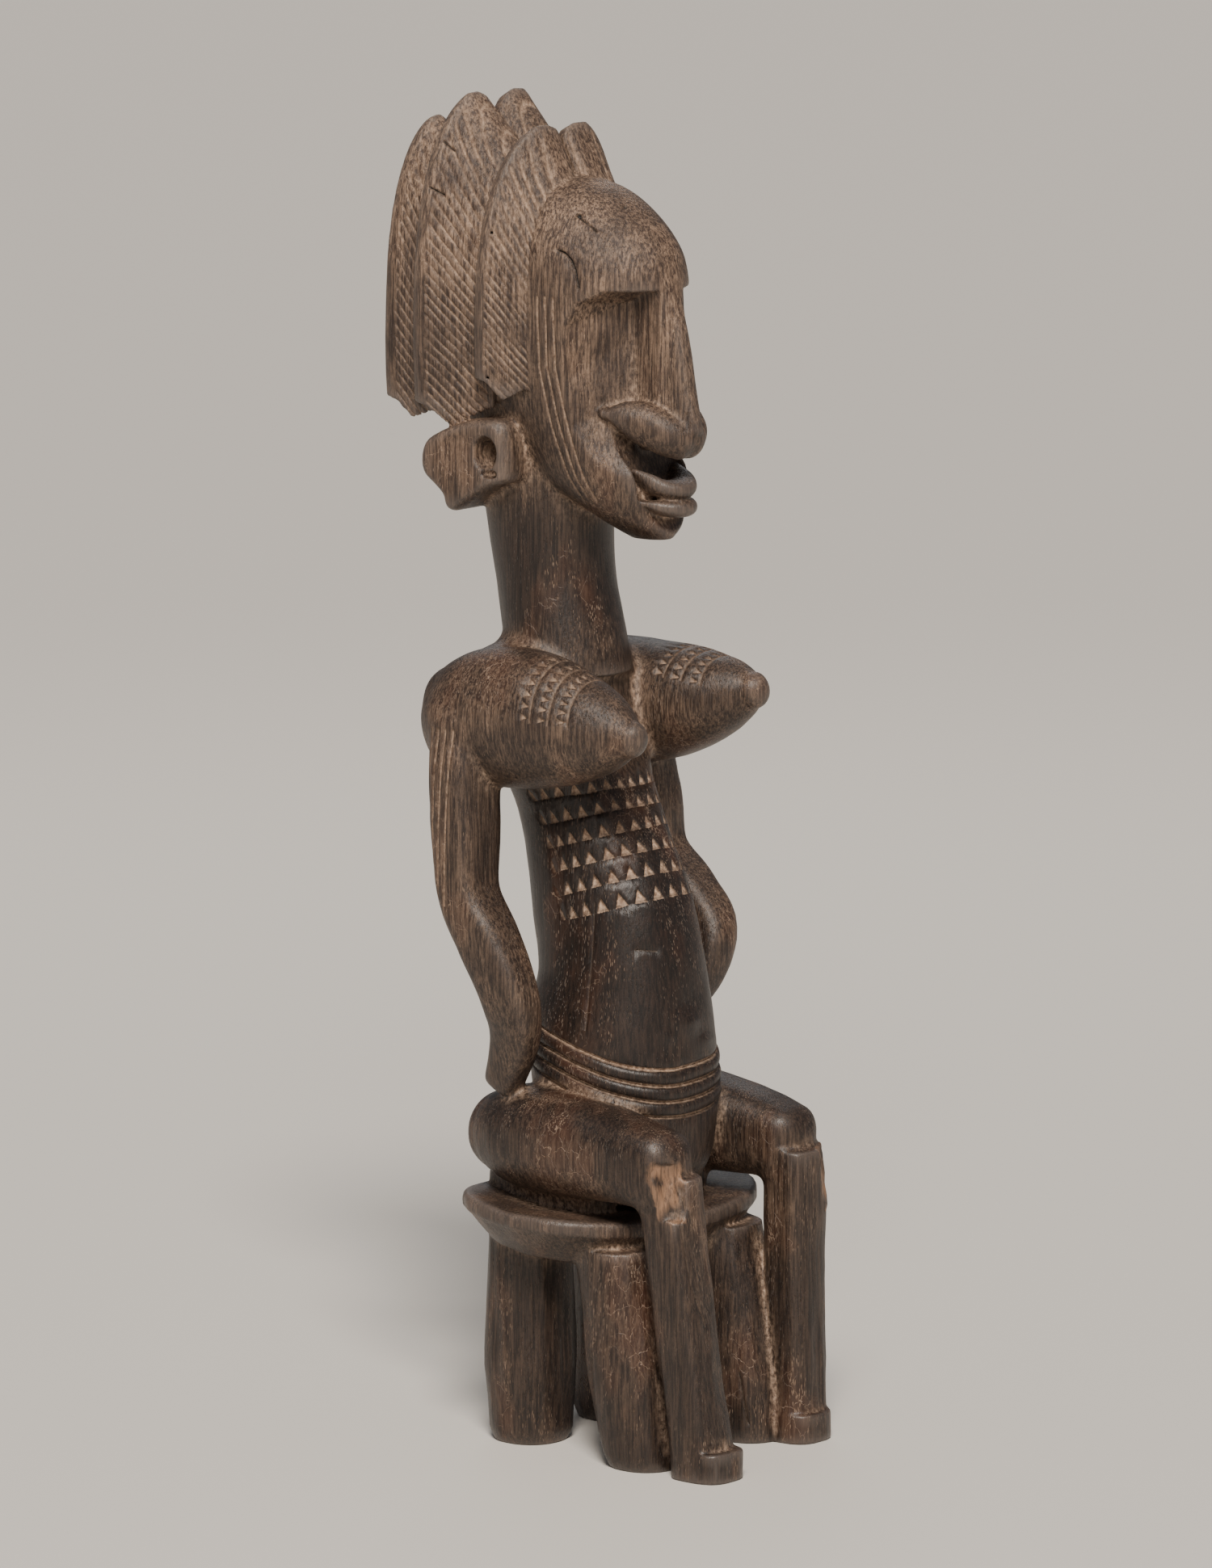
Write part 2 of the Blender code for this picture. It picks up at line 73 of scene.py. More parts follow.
# The camera stands where the photograph's did, to the figure's right and a little above it.
CAMERA_PLACE = np.array((-3.2164, -2.6985, 0.998))
CAMERA_AIM = np.array((0.0006, 0.0015, 0.333))
LENS, SENSOR = 194.7, 36.0
FRAME_WIDTH, FRAME_HEIGHT = 1500, 1941  # in pixels
FOCAL_PIXELS = LENS / SENSOR * FRAME_HEIGHT
VIEW_FORWARD = (CAMERA_AIM - CAMERA_PLACE) / np.linalg.norm(CAMERA_AIM - CAMERA_PLACE)
VIEW_RIGHT = np.cross(VIEW_FORWARD, (0, 0, 1))
VIEW_RIGHT /= np.linalg.norm(VIEW_RIGHT)
VIEW_UP = np.cross(VIEW_RIGHT, VIEW_FORWARD)


# Shapes as rings. A column's station is (x, y, height, half width, half depth, squareness, tilt),
# and a limb's is (x, y, height, half width, half thickness, squareness).

TORSO = [
    (0, -46, 3, 24, 30, 2.2, 0.0),
    (0, -45, 30, 34, 44, 2.3, 0.1),
    (0, -44, 62, 43, 47, 2.3, 0.20),
    (0, -43, 90, 43, 46, 2.3, 0.20),
    (0, -42.5, 118, 37, 42.5, 2.4, 0.0),
    (0, -36, 150, 34, 39.5, 2.4, -0.25),
    (0, -20.5, 200, 34, 31.5, 2.4, -0.25),
    (0, -8, 235, 44, 31, 2.4, -0.05),
    (0, -3, 262, 44, 30, 2.2, 0.0),
    (0, -3, 284, 27, 27, 2.0, 0.0),
]
NECK = [
    (0, -6, 268, 33, 33, 2.0, 0.0),
    (0, -5, 285, 31, 31, 2.0, 0.0),
    (0, 0, 310, 30.5, 30.5, 2.0, 0.0),
    (0, 4, 337, 31, 32, 2.0, 0.0),
    (0, 6, 372, 32, 36, 2.0, 0.0),
    (0, 6, 400, 30, 36, 2.0, 0.0),
]
HEAD = [
    (0, -62, 339, 8, 11, 2.0, 0.0),
    (0, -52, 349, 20, 25, 2.0, 0.1),
    (0, -38, 366, 30, 39, 2.1, 0.0),
    (0, -26, 388, 36, 51, 2.1, 0.0),
    (0, -16, 414, 40, 59, 2.1, 0.0),
    (0, -12, 440, 42, 63, 2.1, 0.0),
    (0, -11, 462, 42, 65, 2.1, 0.0),
    (0, -8, 481, 40.5, 63.5, 2.1, 0.0),
    (0, -2, 498, 35, 55.5, 2.1, 0.0),
    (0, 4, 511, 26, 41, 2.1, 0.0),
    (0, 9, 517.5, 11, 19, 2.0, 0.0),
]
HAIR_CORE = [
    (0, 28, 390, 24, 34, 2.2, 0.0),
    (0, 29, 412, 34, 40, 2.3, 0.0),
    (0, 29, 460, 36, 41, 2.3, 0.0),
    (0, 27, 496, 31, 38, 2.2, 0.0),
    (0, 25, 522, 18, 32, 2.2, 0.0),
]
SHOULDERS = [
    (-64, 12, 240, 20, 22, 2.1),
    (-44, 6, 251, 27, 29, 2.2),
    (0, 0, 258, 30, 30, 2.4),
    (44, 6, 249, 27, 29, 2.2),
    (64, 12, 238, 20, 22, 2.1),
]
BREASTS = {
    -1: [
        (-51, 21, 245, 21, 28, 2.1),
        (-51, 0, 249, 27, 34, 2.1),
        (-50, -30, 250, 28, 34.5, 2.1),
        (-50, -56, 248.5, 24.5, 28.5, 2.1),
        (-50, -78, 247, 17, 19, 2.1),
        (-50, -90, 246, 9, 9.5, 2.0),
    ],
    1: [
        (51, 21, 243, 21, 28, 2.1),
        (51, 0, 246, 27, 33, 2.1),
        (50, -30, 249, 28, 30, 2.1),
        (50, -54, 253, 24.5, 25, 2.1),
        (50, -74, 257, 17, 17, 2.1),
        (50, -86, 259, 9, 9.5, 2.0),
    ],
}
ARMS = {
    -1: [
        (-62, 6, 246, 18, 17, 2.1),
        (-66, 5, 222, 18, 15.5, 2.6),
        (-68, 2.5, 190, 17, 14, 3.2),
        (-70, -1, 163, 15, 12.5, 3.4),
        (-69, -13, 140, 14, 14, 3.4),
        (-67, -24, 116, 12.5, 14, 3.2),
        (-61, -24, 92, 10, 13, 3.0),
        (-56, -12, 66, 8, 10, 2.8),
    ],
    1: [
        (62, 8, 246, 18, 17, 2.1),
        (66, 3, 222, 17, 16, 2.6),
        (68, -4, 194, 15.5, 14, 3.2),
        (70, -8.5, 168, 14, 12.5, 3.4),
        (69, -27, 150, 13.5, 13.5, 3.4),
        (66, -45, 131, 12, 13, 3.2),
        (58, -46, 110, 10, 11, 3.0),
        (50, -40, 92, 8, 8, 2.6),
    ],
}
THIGHS = {
    -1: [
        (-38, 0, 37, 22, 21, 2.1),
        (-43, -18, 38, 25, 26, 2.2),
        (-46, -48, 37, 24, 26, 2.3),
        (-47, -82, 35, 20.5, 22.5, 2.6),
        (-47, -106, 32, 18, 20, 3.0),
    ],
    1: [
        (38, 0, 37, 22, 21, 2.1),
        (44, -18, 38, 25, 26, 2.2),
        (49, -48, 37, 24, 26, 2.3),
        (54, -80, 34, 20.5, 22.5, 2.6),
        (56, -103, 30, 18, 19, 3.0),
    ],
}
THIGH_REST = [(28, 6, 12, 14, 16, 2.2), (33, -26, 10, 17, 16, 2.2), (36, -56, 10, 13, 12, 2.2)]
# The ear's outline, as (place front to back, height above the seat), and how far out it stands.
EAR_OUTLINE = [
    (-4, 394), (10, 397), (24, 394), (36, 389), (43, 384), (45.5, 376), (44, 368),
    (37, 362), (32, 357), (30, 351), (25, 350.5), (15, 357), (3, 364), (-6, 369),
]
EAR_MIDDLE = (20, 374)
EAR_SECTION = [(26, 0.98), (40, 1.0), (46, 1.0), (49, 0.96), (51, 0.86)]  # distance out, share
EAR_SPLAY = 0.13  # how much farther out the ear stands for each millimetre towards the back
EAR_HOLE = [(34, 6, 380, 4.5, 6, 2.0), (45, 6, 380, 6, 8, 2.0), (60, 7, 381, 7.5, 9.5, 2.0)]
EAR_SLIT = [(36, 2, 369, 3, 1.8, 2.0), (48, 4, 370, 4.5, 2.0, 2.0), (60, 5, 370, 6, 2.6, 2.0)]
EAR_DISH = [(51.5, 22, 378, 8, 9, 2.0), (62, 22, 379, 16, 15, 2.0)]

NOSE = [
    (0, -57.5, 463, 7, 17, 3.0),
    (0, -62.5, 440, 7.5, 20, 3.0),
    (0, -68.5, 410, 8, 20, 2.8),
    (0, -72, 391, 8, 21, 2.4),
]
NOSTRIL = [
    (21.5, -52, 402, 5, 3, 2.2),
    (18.5, -59, 401, 8, 7.5, 2.2),
    (14, -67, 398, 9.5, 10.5, 2.2),
    (8, -77, 392.5, 10, 10.5, 2.2),
    (2, -83, 388, 8, 9, 2.2),
]
UPPER_LIP = [
    (-15.5, -63, 372.5, 3.5, 1.8, 2.2),
    (-9.5, -72, 366, 8, 4.2, 2.3),
    (0, -76, 364, 9.5, 5.0, 2.4),
    (9.5, -72, 366, 8, 4.2, 2.3),
    (15.5, -63, 372.5, 3.5, 1.8, 2.2),
]
LOWER_LIP = [
    (-14, -68, 357.5, 4, 1.5, 2.2),
    (-8, -74, 355.8, 7.5, 3.8, 2.4),
    (0, -77.5, 355, 9.5, 4.6, 2.6),
    (8, -74, 355.8, 7.5, 3.8, 2.4),
    (14, -68, 357.5, 4, 1.5, 2.2),
]
MOUTH_CUT = [(342, -76, 14), (356, -69, 17), (370, -62, 19.5), (392, -54, 21)]  # height, place, half width

BROW = 462
CHEEK_CUTS = [  # height, place beside the nose and 50 mm out, half width of the nose
    (BROW + 1, -66, -46, 9),
    (BROW - 5, -56, -37, 8),
    (440, -57, -29, 8),
    (410, -60, -26, 9),
    (388, -66, -27, 11),
    (374, -74, -33, 14),
    (356, -84, -44, 18),
]

KNEE_CHIPS = [
    [
        (-70, -140, 38), (-47, -140, 38), (-48, -120, 38), (-66, -111, 38),
        (-66, -140, 10), (-53, -140, 10), (-53, -124.5, 10), (-64, -117, 10),
    ],
    [
        (56, -140, 32), (78, -140, 32), (78, -110, 32), (58, -121, 32),
        (62, -140, -6), (78, -140, -6), (78, -119, -6), (64, -124, -6),
    ],
]

# Each lobe of hair spreads between two arches about CROWN: (half width, rise, place front to back)
# where its face starts, and (half width, rise, place at its foot, place at the top) at its back edge.
# Past its last angle it runs on towards the middle, by steps of (half width, drop from its top).
CROWN = 443
LOBES = {
    "front": {
        "start": (42, 72, -18), "edge": (53, 102.5, 6, -3), "angles": (-20, 74),
        "inner": [(10, 0), (4, 2), (1, 7)],
    },
    "middle": {
        "start": (41, 86, 9), "edge": (52, 119, 47, 40), "angles": (-25, 71),
        "inner": [(14, -0.5), (8, 2), (1, 10)],
    },
    "rear": {
        "start": (38, 84, 46), "edge": (39, 106, 77, 68), "angles": (-28, 69),
        "inner": [(11, -1), (6, 2), (1, 8)],
    },
}
ARCH_SQUARENESS = 2.45
LOBE_EDGE = 5.5  # thickness of a lobe's back edge
LOBE_ROOT = 0.5  # the inner corners of a lobe, as a share of its arches
LOBE_POINT = 0.63  # the lowest point of a lobe's foot, as a share of the way to its back edge
LOBE_CHAMFER = 9  # how many degrees higher the foot ends at the back edge

SEAT_WIDTH, SEAT_DEPTH, SEAT_MIDDLE_Y = 164.0, 110.0, -35.0
SEAT_DISH = 7.0  # how much higher the seat's two ends are than its middle
SEAT_LIFT = 0.15  # how steeply the seat climbs behind the body
SEAT_PROFILE = [  # share of the seat's outline, depth under its top
    (0.0, 0.0), (0.93, 0.0), (0.985, 0.8), (1.0, 3.0), (1.0, 7.5), (0.97, 9.5), (0.80, 22.5), (0.0, 30.0),
]
SEAT_SQUARENESS = 2.8
STOOL_LEG = 43.0
# Each pair of legs: place front to back and out to the side, as shares of the seat, and lean.
STOOL_LEGS = ((-0.70, 0.50, -19.0), (0.46, 0.40, 0.0))
# How a leg swells from below the floor to the seat: share of its height, share of its thickness.
LEG_SWELL = [(-0.08, 0.72), (0.0, 0.84), (0.06, 0.94), (0.35, 1.04), (0.7, 1.0), (1.0, 0.95)]
SHINS = {
    -1: {"knee": (-47, -111, 150), "sole": (-42, -132)},
    1: {"knee": (56, -109, 149), "sole": (53, -112)},
}
SHIN_WIDTH, SHIN_DEPTH = 31.0, 29.0
FOOT_STEP = 2.5  # how far the worn toes stand out of the shin
UNDER_FLOOR = -8.0  # the lower legs run on to here, and are then cut level with the floor


def follow(stations, shares):
    """Points of a smooth curve through rows of numbers, at shares 0 to 1 of the way along it."""
    rows = np.array(stations, float)
    last = len(rows) - 1
    place = np.minimum(np.asarray(shares, float) * last, last - 1e-9)
    step = place.astype(int)
    t = (place - step)[:, None]
    a, b, c, d = (rows[np.clip(step + k, 0, last)] for k in (-1, 0, 1, 2))
    return 0.5 * (2 * b + (c - a) * t + (2 * a - 5 * b + 4 * c - d) * t**2 + (3 * b - a - 3 * c + d) * t**3)


def signed_power(value, power):
    return np.copysign(np.abs(value) ** power, value)


def outline(half_width, half_depth, squareness, sides=64):
    """A level ring: squareness 2 is an ellipse, and more is nearer to a rectangle."""
    angle = np.linspace(0, math.tau, sides, endpoint=False)
    return (
        half_width * signed_power(np.cos(angle), 2 / squareness),
        half_depth * signed_power(np.sin(angle), 2 / squareness),
    )


def column(stations, steps=60):
    """Rings of an upright form."""
    rings = []
    for x, y, z, wide, deep, square, tilt in follow(stations, np.linspace(0, 1, steps)):
        side, depth = outline(wide, deep, square)
        rings.append(np.stack([x + side, y + depth, SEAT + z + tilt * depth], axis=1))
    return rings


def limb(stations, ends=(0, 0), steps=44):
    """Rings of a form along a path, with round ends of the given lengths."""
    rows = follow(stations, np.linspace(0, 1, steps))
    points = rows[:, :3] + (0, 0, SEAT)
    along = np.gradient(points, axis=0)
    along /= np.linalg.norm(along, axis=1)[:, None]
    run = points[-1] - points[0]
    across = np.array((0, 1, 0) if abs(run[0]) > 0.8 * np.linalg.norm(run) else (1, 0, 0), float)
    rings = []
    for k, (point, forward) in enumerate(zip(points, along)):
        side = across - forward * forward.dot(across)
        side /= np.linalg.norm(side)
        depth = np.cross(forward, side)
        reach = [0.0]
        end = 1.0
        if k == 0 and ends[0]:
            end = ends[0]
            reach = -end * np.sin(np.linspace(1.5, 0, 9))
        if k == steps - 1 and ends[1]:
            end = ends[1]
            reach = end * np.sin(np.linspace(0, 1.5, 9))
        for r in reach:
            w, d = outline(*rows[k, 3:])
            shrink = math.sqrt(1 - (r / end) ** 2)
            rings.append(point + forward * r + (np.outer(w, side) + np.outer(d, depth)) * shrink)
    return rings


def mirrored(stations, side):
    """The same stations on the figure's right (-1) or left (1). They are written for the left."""
    return [(side * s[0], *s[1:]) for s in stations]


def arch(side, half_width, rise, y, angle):
    """Points of a lobe's arch at the given angles, from level at the side round to the crown."""
    across = half_width * signed_power(np.cos(angle), 2 / ARCH_SQUARENESS)
    up = rise * signed_power(np.sin(angle), 2 / ARCH_SQUARENESS)
    return np.stack([side * across, np.broadcast_to(y, angle.shape), SEAT + CROWN + up], axis=1)


def edge_place(lobe, angle):
    """How far back a lobe's back edge lies, at the given angles."""
    low, high = np.radians(lobe["angles"])
    share = np.clip((angle - low) / (high - low), 0, 1)
    _, _, foot, top = lobe["edge"]
    return foot + (top - foot) * share**2


def hair_lobe(side, lobe):
    """A blade of hair: its face, its back edge, its back and its root in the head."""
    low, high = np.radians(lobe["angles"])
    angle = np.linspace(low, high, 110)
    half_width, rise, y = lobe["start"]
    edge_width, edge_rise = lobe["edge"][:2]
    at_edge = np.maximum(angle, low + math.radians(LOBE_CHAMFER))
    back = edge_place(lobe, at_edge)
    start = arch(side, half_width, rise, y, angle)
    edge = arch(side, edge_width, edge_rise, back, at_edge)
    flat_edge = arch(side, edge_width, edge_rise, edge_place(lobe, angle), angle)
    corners = [
        start,
        start + (flat_edge - start) * LOBE_POINT,
        edge,
        arch(side, edge_width * 0.97, edge_rise * 0.97, back + LOBE_EDGE, at_edge),
        arch(side, edge_width * LOBE_ROOT, edge_rise * LOBE_ROOT, back + LOBE_EDGE, at_edge),
        arch(side, half_width * LOBE_ROOT, rise * LOBE_ROOT, y, angle),
    ]
    loops = [[c[k] for c in corners] for k in range(len(angle))]
    top = loops[-1]
    for inner, drop in lobe["inner"]:
        share = inner / abs(top[2][0])
        loops.append([(p - (0, 0, d)) * (share, 1, 1) for p, d in zip(top, (drop, drop, drop, drop, 0, 0))])
    rings = []
    for loop in loops:
        sides = zip(loop, loop[1:] + loop[:1])
        rings.append(np.concatenate([np.linspace(a, b, 8, endpoint=False) for a, b in sides]))
    return rings


def ear(side):
    """A flat ear, as rings that get smaller towards its outer face."""
    closed = EAR_OUTLINE[-1:] + EAR_OUTLINE + EAR_OUTLINE[:2]
    shares = (1 + np.linspace(0, len(EAR_OUTLINE), 84, endpoint=False)) / (len(closed) - 1)
    spots = follow(closed, shares)
    rings = []
    for out, share in EAR_SECTION:
        y, z = (spots * share + np.array(EAR_MIDDLE) * (1 - share)).T
        rings.append(np.stack([side * (out + EAR_SPLAY * (y - EAR_MIDDLE[0])), y, SEAT + z], axis=1))
    return rings


def shin(side):
    """A lower leg from the knee to the floor."""
    knee = np.array(SHINS[side]["knee"], float)
    sole = np.array((*SHINS[side]["sole"], UNDER_FLOOR))
    rings = []
    for share in np.linspace(0, 1, 30):
        slim = 1 - 0.08 * math.sin(math.pi * share)
        middle = knee + (sole - knee) * share
        w, d = outline(SHIN_WIDTH / 2 * slim, SHIN_DEPTH / 2 * slim, 3.0)
        rings.append(np.stack([middle[0] + w, middle[1] + d, np.full_like(w, middle[2])], axis=1))
    return rings


def toes(side):
    """The worn foot, which stands a little out of the shin."""
    x, y = SHINS[side]["sole"]
    w, d = outline(SHIN_WIDTH * 0.47, SHIN_DEPTH / 2, 3.0)
    levels = (UNDER_FLOOR, 12.0, 15.0)
    return [np.stack([x + w, y - FOOT_STEP + d, np.full_like(w, z)], axis=1) for z in levels]


def seat():
    """The wide oval seat, thin at its rim."""
    rings = []
    for share, drop in SEAT_PROFILE:
        share = max(share, 0.02)
        w, d = outline(share * SEAT_WIDTH / 2, share * SEAT_DEPTH / 2, SEAT_SQUARENESS, sides=120)
        rise = SEAT_DISH * (2 * w / SEAT_WIDTH) ** 2 + SEAT_LIFT * np.maximum(d, 0)
        rings.append(np.stack([w, SEAT_MIDDLE_Y + d, SEAT - drop + rise], axis=1))
    return rings


def stool_leg(side, y_share, x_share, lean):
    """A club-shaped leg of the stool."""
    x, y = side * x_share * SEAT_WIDTH / 2, SEAT_MIDDLE_Y + y_share * SEAT_DEPTH / 2
    height = SEAT - 12
    rings = []
    for share, swell in LEG_SWELL:
        w, d = outline(STOOL_LEG / 2 * swell, STOOL_LEG / 2 * swell, 2.2)
        rings.append(np.stack([x + w, y + lean * (1 - share) + d, np.full_like(w, share * height)], axis=1))
    return rings


def cheek_cut(side):
    """What the knife took away under the brow, beside the nose."""
    rings = []
    for z, inner, outer, nose in CHEEK_CUTS:
        corners = [(nose, inner), (50, outer), (50, -110), (nose, -110)]
        rings.append(np.array([(side * x, y, SEAT + z) for x, y in corners]))
    return rings


def mouth_cut():
    """The hollow that leaves the two lips standing."""
    rings = []
    for z, y, half in MOUTH_CUT:
        corners = [(-half, y), (half, y), (half, -120), (-half, -120)]
        rings.append(np.array([(x, y, SEAT + z) for x, y in corners]))
    return rings


def wedge(corners):
    """What a blow broke off, between four corners at its top and four at its foot."""
    points = np.array(corners, float) + (0, 0, SEAT)
    return [points[:4], points[4:]]


class Form:
    """A closed skin over rings, kept as distances to it on the block's grid: negative is inside."""

    def __init__(self, rings):
        rings = np.asarray(rings)
        count, sides = rings.shape[:2]
        points = np.concatenate([rings.reshape(-1, 3), rings[0].mean(0)[None], rings[-1].mean(0)[None]])
        i = (np.arange(count - 1)[:, None] * sides + np.arange(sides)).ravel()
        j = (np.arange(count - 1)[:, None] * sides + (np.arange(sides) + 1) % sides).ravel()
        turn = np.arange(sides)
        following = (turn + 1) % sides
        last = (count - 1) * sides
        first_cap = np.stack([following, turn, np.full(sides, count * sides)], axis=1)
        last_cap = np.stack([last + turn, last + following, np.full(sides, count * sides + 1)], axis=1)
        walls = [np.stack([i, j, j + sides], axis=1), np.stack([i, j + sides, i + sides], axis=1)]
        triangles = np.concatenate(walls + [first_cap, last_cap])
        grid = openvdb.FloatGrid.createLevelSetFromPolygons(
            np.ascontiguousarray(points, np.float32),
            triangles=np.ascontiguousarray(triangles, np.uint32),
            transform=openvdb.createLinearTransform(voxelSize=GRAIN),
            halfWidth=BAND,
        )
        low, high = grid.evalActiveVoxelBoundingBox()
        self.low = np.array(low)
        self.distance = np.empty(np.array(high) - low + 1, np.float32)
        grid.copyToArray(self.distance, ijk=tuple(low))


def read(distance, low, points, step=1):
    """Distances at points, read between the steps of a grid that starts at low. FAR is outside it."""
    place = (points / GRAIN - low) / step
    size = np.array(distance.shape)
    inside = np.all((place >= 0) & (place < size - 1.001), axis=1)
    found = np.full(len(points), FAR, np.float32)
    spot = place[inside]
    cell = spot.astype(int)
    part = (spot - cell).astype(np.float32)
    total = np.zeros(len(cell), np.float32)
    for corner in np.ndindex(2, 2, 2):
        weight = np.prod(np.where(corner, part, 1 - part), axis=1)
        total += weight * distance[tuple((cell + corner).T)]
    found[inside] = total
    return found


class Block:
    """The log: distances to the carving's surface, on one grid."""

    def __init__(self):
        self.low = np.floor(np.array(BLOCK_LOW) / GRAIN).astype(int)
        size = np.ceil(np.array(BLOCK_HIGH) / GRAIN).astype(int) - self.low
        self.distance = np.full(size, FAR, np.float32)

    def part(self, form):
        """The form's place in the block, and the form's own distances there."""
        start = np.maximum(form.low - self.low, 0)
        stop = np.minimum(form.low - self.low + form.distance.shape, self.distance.shape)
        own = tuple(slice(a, b) for a, b in zip(start + self.low - form.low, stop + self.low - form.low))
        return tuple(slice(a, b) for a, b in zip(start, stop)), form.distance[own]

    def blend(self, here, other, fillet):
        """How much a fillet adds where two surfaces are about as near."""
        near = np.maximum(fillet - np.abs(here - other), 0)
        near[(np.abs(here) >= FAR * 0.98) | (np.abs(other) >= FAR * 0.98)] = 0
        return near * near / (4 * fillet)

    def add(self, form, fillet):
        place, other = self.part(form)
        here = self.distance[place]
        self.distance[place] = np.minimum(here, other) - self.blend(here, other, fillet)

    def cut(self, form, fillet):
        place, other = self.part(form)
        here = self.distance[place]
        self.distance[place] = np.maximum(here, -other) + self.blend(here, -other, fillet)

    def join(self, block, fillet):
        here, other = self.distance, block.distance
        self.distance = np.minimum(here, other) - self.blend(here, other, fillet)

    def cut_level_below(self, height):
        """Nothing is left under the height."""
        z = (np.arange(self.distance.shape[2]) + self.low[2]) * GRAIN
        self.distance = np.maximum(self.distance, (height - z).astype(np.float32))


def soften(distance, passes):
    """Rounds every edge a little, as handling does."""
    for _ in range(passes):
        for axis in range(3):
            rolled = np.moveaxis(distance, axis, 0)
            soft = rolled.copy()
            soft[1:-1] = 0.25 * rolled[:-2] + 0.5 * rolled[1:-1] + 0.25 * rolled[2:]
            distance = np.moveaxis(soft, 0, axis)
    return np.ascontiguousarray(distance)


def carve_body(trunk):
    """Trunk, neck, shoulders, breasts, arms, thighs and lower legs."""
    block = Block()
    block.add(trunk, fillet=1)
    block.add(Form(column(NECK)), fillet=5)
    block.add(Form(limb(SHOULDERS, ends=(12, 12))), fillet=6)
    for side in SIDES:
        block.add(Form(limb(BREASTS[side], ends=(16, 8))), fillet=5)
        block.add(Form(limb(ARMS[side], ends=(0, 5))), fillet=3)
    for side in SIDES:
        block.add(Form(limb(THIGHS[side], ends=(16, 14))), fillet=3)
        block.add(Form(limb(mirrored(THIGH_REST, side), ends=(8, 8))), fillet=4)
        block.add(Form(shin(side)), fillet=5)
        block.add(Form(toes(side)), fillet=1.5)
    return block


def carve_stool():
    """The dished seat and its four legs."""
    block = Block()
    block.add(Form(seat()), fillet=1)
    for side in SIDES:
        for y_share, x_share, lean in STOOL_LEGS:
            block.add(Form(stool_leg(side, y_share, x_share, lean)), fillet=4)
    return block


def carve_head(lobes):
    """Mask, nose, lips, ears and the six lobes of hair."""
    block = Block()
    block.add(Form(column(HEAD)), fillet=1)
    for side in SIDES:
        block.cut(Form(cheek_cut(side)), fillet=2)
    block.cut(Form(mouth_cut()), fillet=1.5)
    block.add(Form(limb(NOSE, ends=(2, 6))), fillet=5)
    for side in SIDES:
        block.add(Form(limb(mirrored(NOSTRIL, side), ends=(6, 6))), fillet=2)
    block.add(Form(limb(UPPER_LIP, ends=(3, 3))), fillet=1.5)
    block.add(Form(limb(LOWER_LIP, ends=(3, 3))), fillet=1.5)
    block.add(Form(column(HAIR_CORE)), fillet=4)
    for side in SIDES:
        for name in LOBES:
            block.add(lobes[name, side], fillet=0.8)
        block.add(Form(ear(side)), fillet=2)
        block.cut(Form(limb(mirrored(EAR_DISH, side))), fillet=3)
        block.cut(Form(limb(mirrored(EAR_HOLE, side))), fillet=1.5)
        block.cut(Form(limb(mirrored(EAR_SLIT, side))), fillet=1)
    return block


def carve_log(trunk, lobes, chips):
    """The whole carving, but for its fine cuts."""
    block = carve_body(trunk)
    block.join(carve_head(lobes), fillet=4)
    block.join(carve_stool(), fillet=2)
    for chip in chips:
        block.cut(chip, fillet=1)
    block.distance = soften(block.distance, 1)
    block.cut_level_below(0.0)
    return block


def lattice_noise(points, size, seed):
    """Smooth random values, about -1 to 1, that change over the given size."""
    cell = np.floor(points / size).astype(np.int64)
    part = points / size - cell
    part = part * part * (3 - 2 * part)
    total = np.zeros(len(points))
    for corner in np.ndindex(2, 2, 2):
        x, y, z = (cell + corner).T
        mixed = (x * 73856093) ^ (y * 19349663) ^ (z * 83492791) ^ (seed * 2654435761)
        mixed = (mixed ^ (mixed >> 13)) * 1274126177
        value = ((mixed ^ (mixed >> 16)) & 0xFFFF) / 32767.5 - 1
        total += value * np.prod(np.where(corner, part, 1 - part), axis=1)
    return total


def step_between(value, low, high):
    """0 below low, 1 above high, and smooth between."""
    t = np.clip((value - low) / (high - low), 0, 1)
    return t * t * (3 - 2 * t)


def surface(block):
    """The block's surface, as points and quads."""
    grid = openvdb.FloatGrid()
    grid.copyFromArray(block.distance, ijk=tuple(int(i) for i in block.low), tolerance=0)
    grid.transform = openvdb.createLinearTransform(voxelSize=GRAIN)
    points, quads = grid.convertToQuads(isovalue=0)
    return points.astype(float), quads.astype(np.int64)


def split_marked(points, quads, marked):
    """Splits each marked quad in four. Its neighbours take the new corners on their edges."""
    count = len(points)
    ends = np.sort(np.stack([quads, np.roll(quads, -1, axis=1)], axis=2), axis=2)
    keys = ends[..., 0] * count + ends[..., 1]
    cut = np.unique(keys[marked])
    spot = np.minimum(np.searchsorted(cut, keys), len(cut) - 1)
    is_cut = cut[spot] == keys
    middle = count + spot
    heart = count + len(cut) + np.arange(marked.sum())
    new_points = np.concatenate(
        [points, 0.5 * (points[cut // count] + points[cut % count]), points[quads[marked]].mean(axis=1)]
    )
    corner, after = quads[marked], middle[marked]
    before = np.roll(after, 1, axis=1)
    small = np.stack([corner, after, np.broadcast_to(heart[:, None], corner.shape), before], axis=2)
    whole = quads[~marked & ~is_cut.any(axis=1)]
    faces = small.reshape(-1, 4).tolist() + whole.tolist()
    for quad, mids, cuts in zip(*(a[~marked & is_cut.any(axis=1)].tolist() for a in (quads, middle, is_cut))):
        faces.append([v for i in range(4) for v in ([quad[i], mids[i]] if cuts[i] else [quad[i]])])
    return new_points, faces


def as_mesh(name, points, faces):
    """A new mesh of points and faces."""
    mesh = bpy.data.meshes.new(name)
    mesh.from_pydata(points, [], faces)
    return mesh


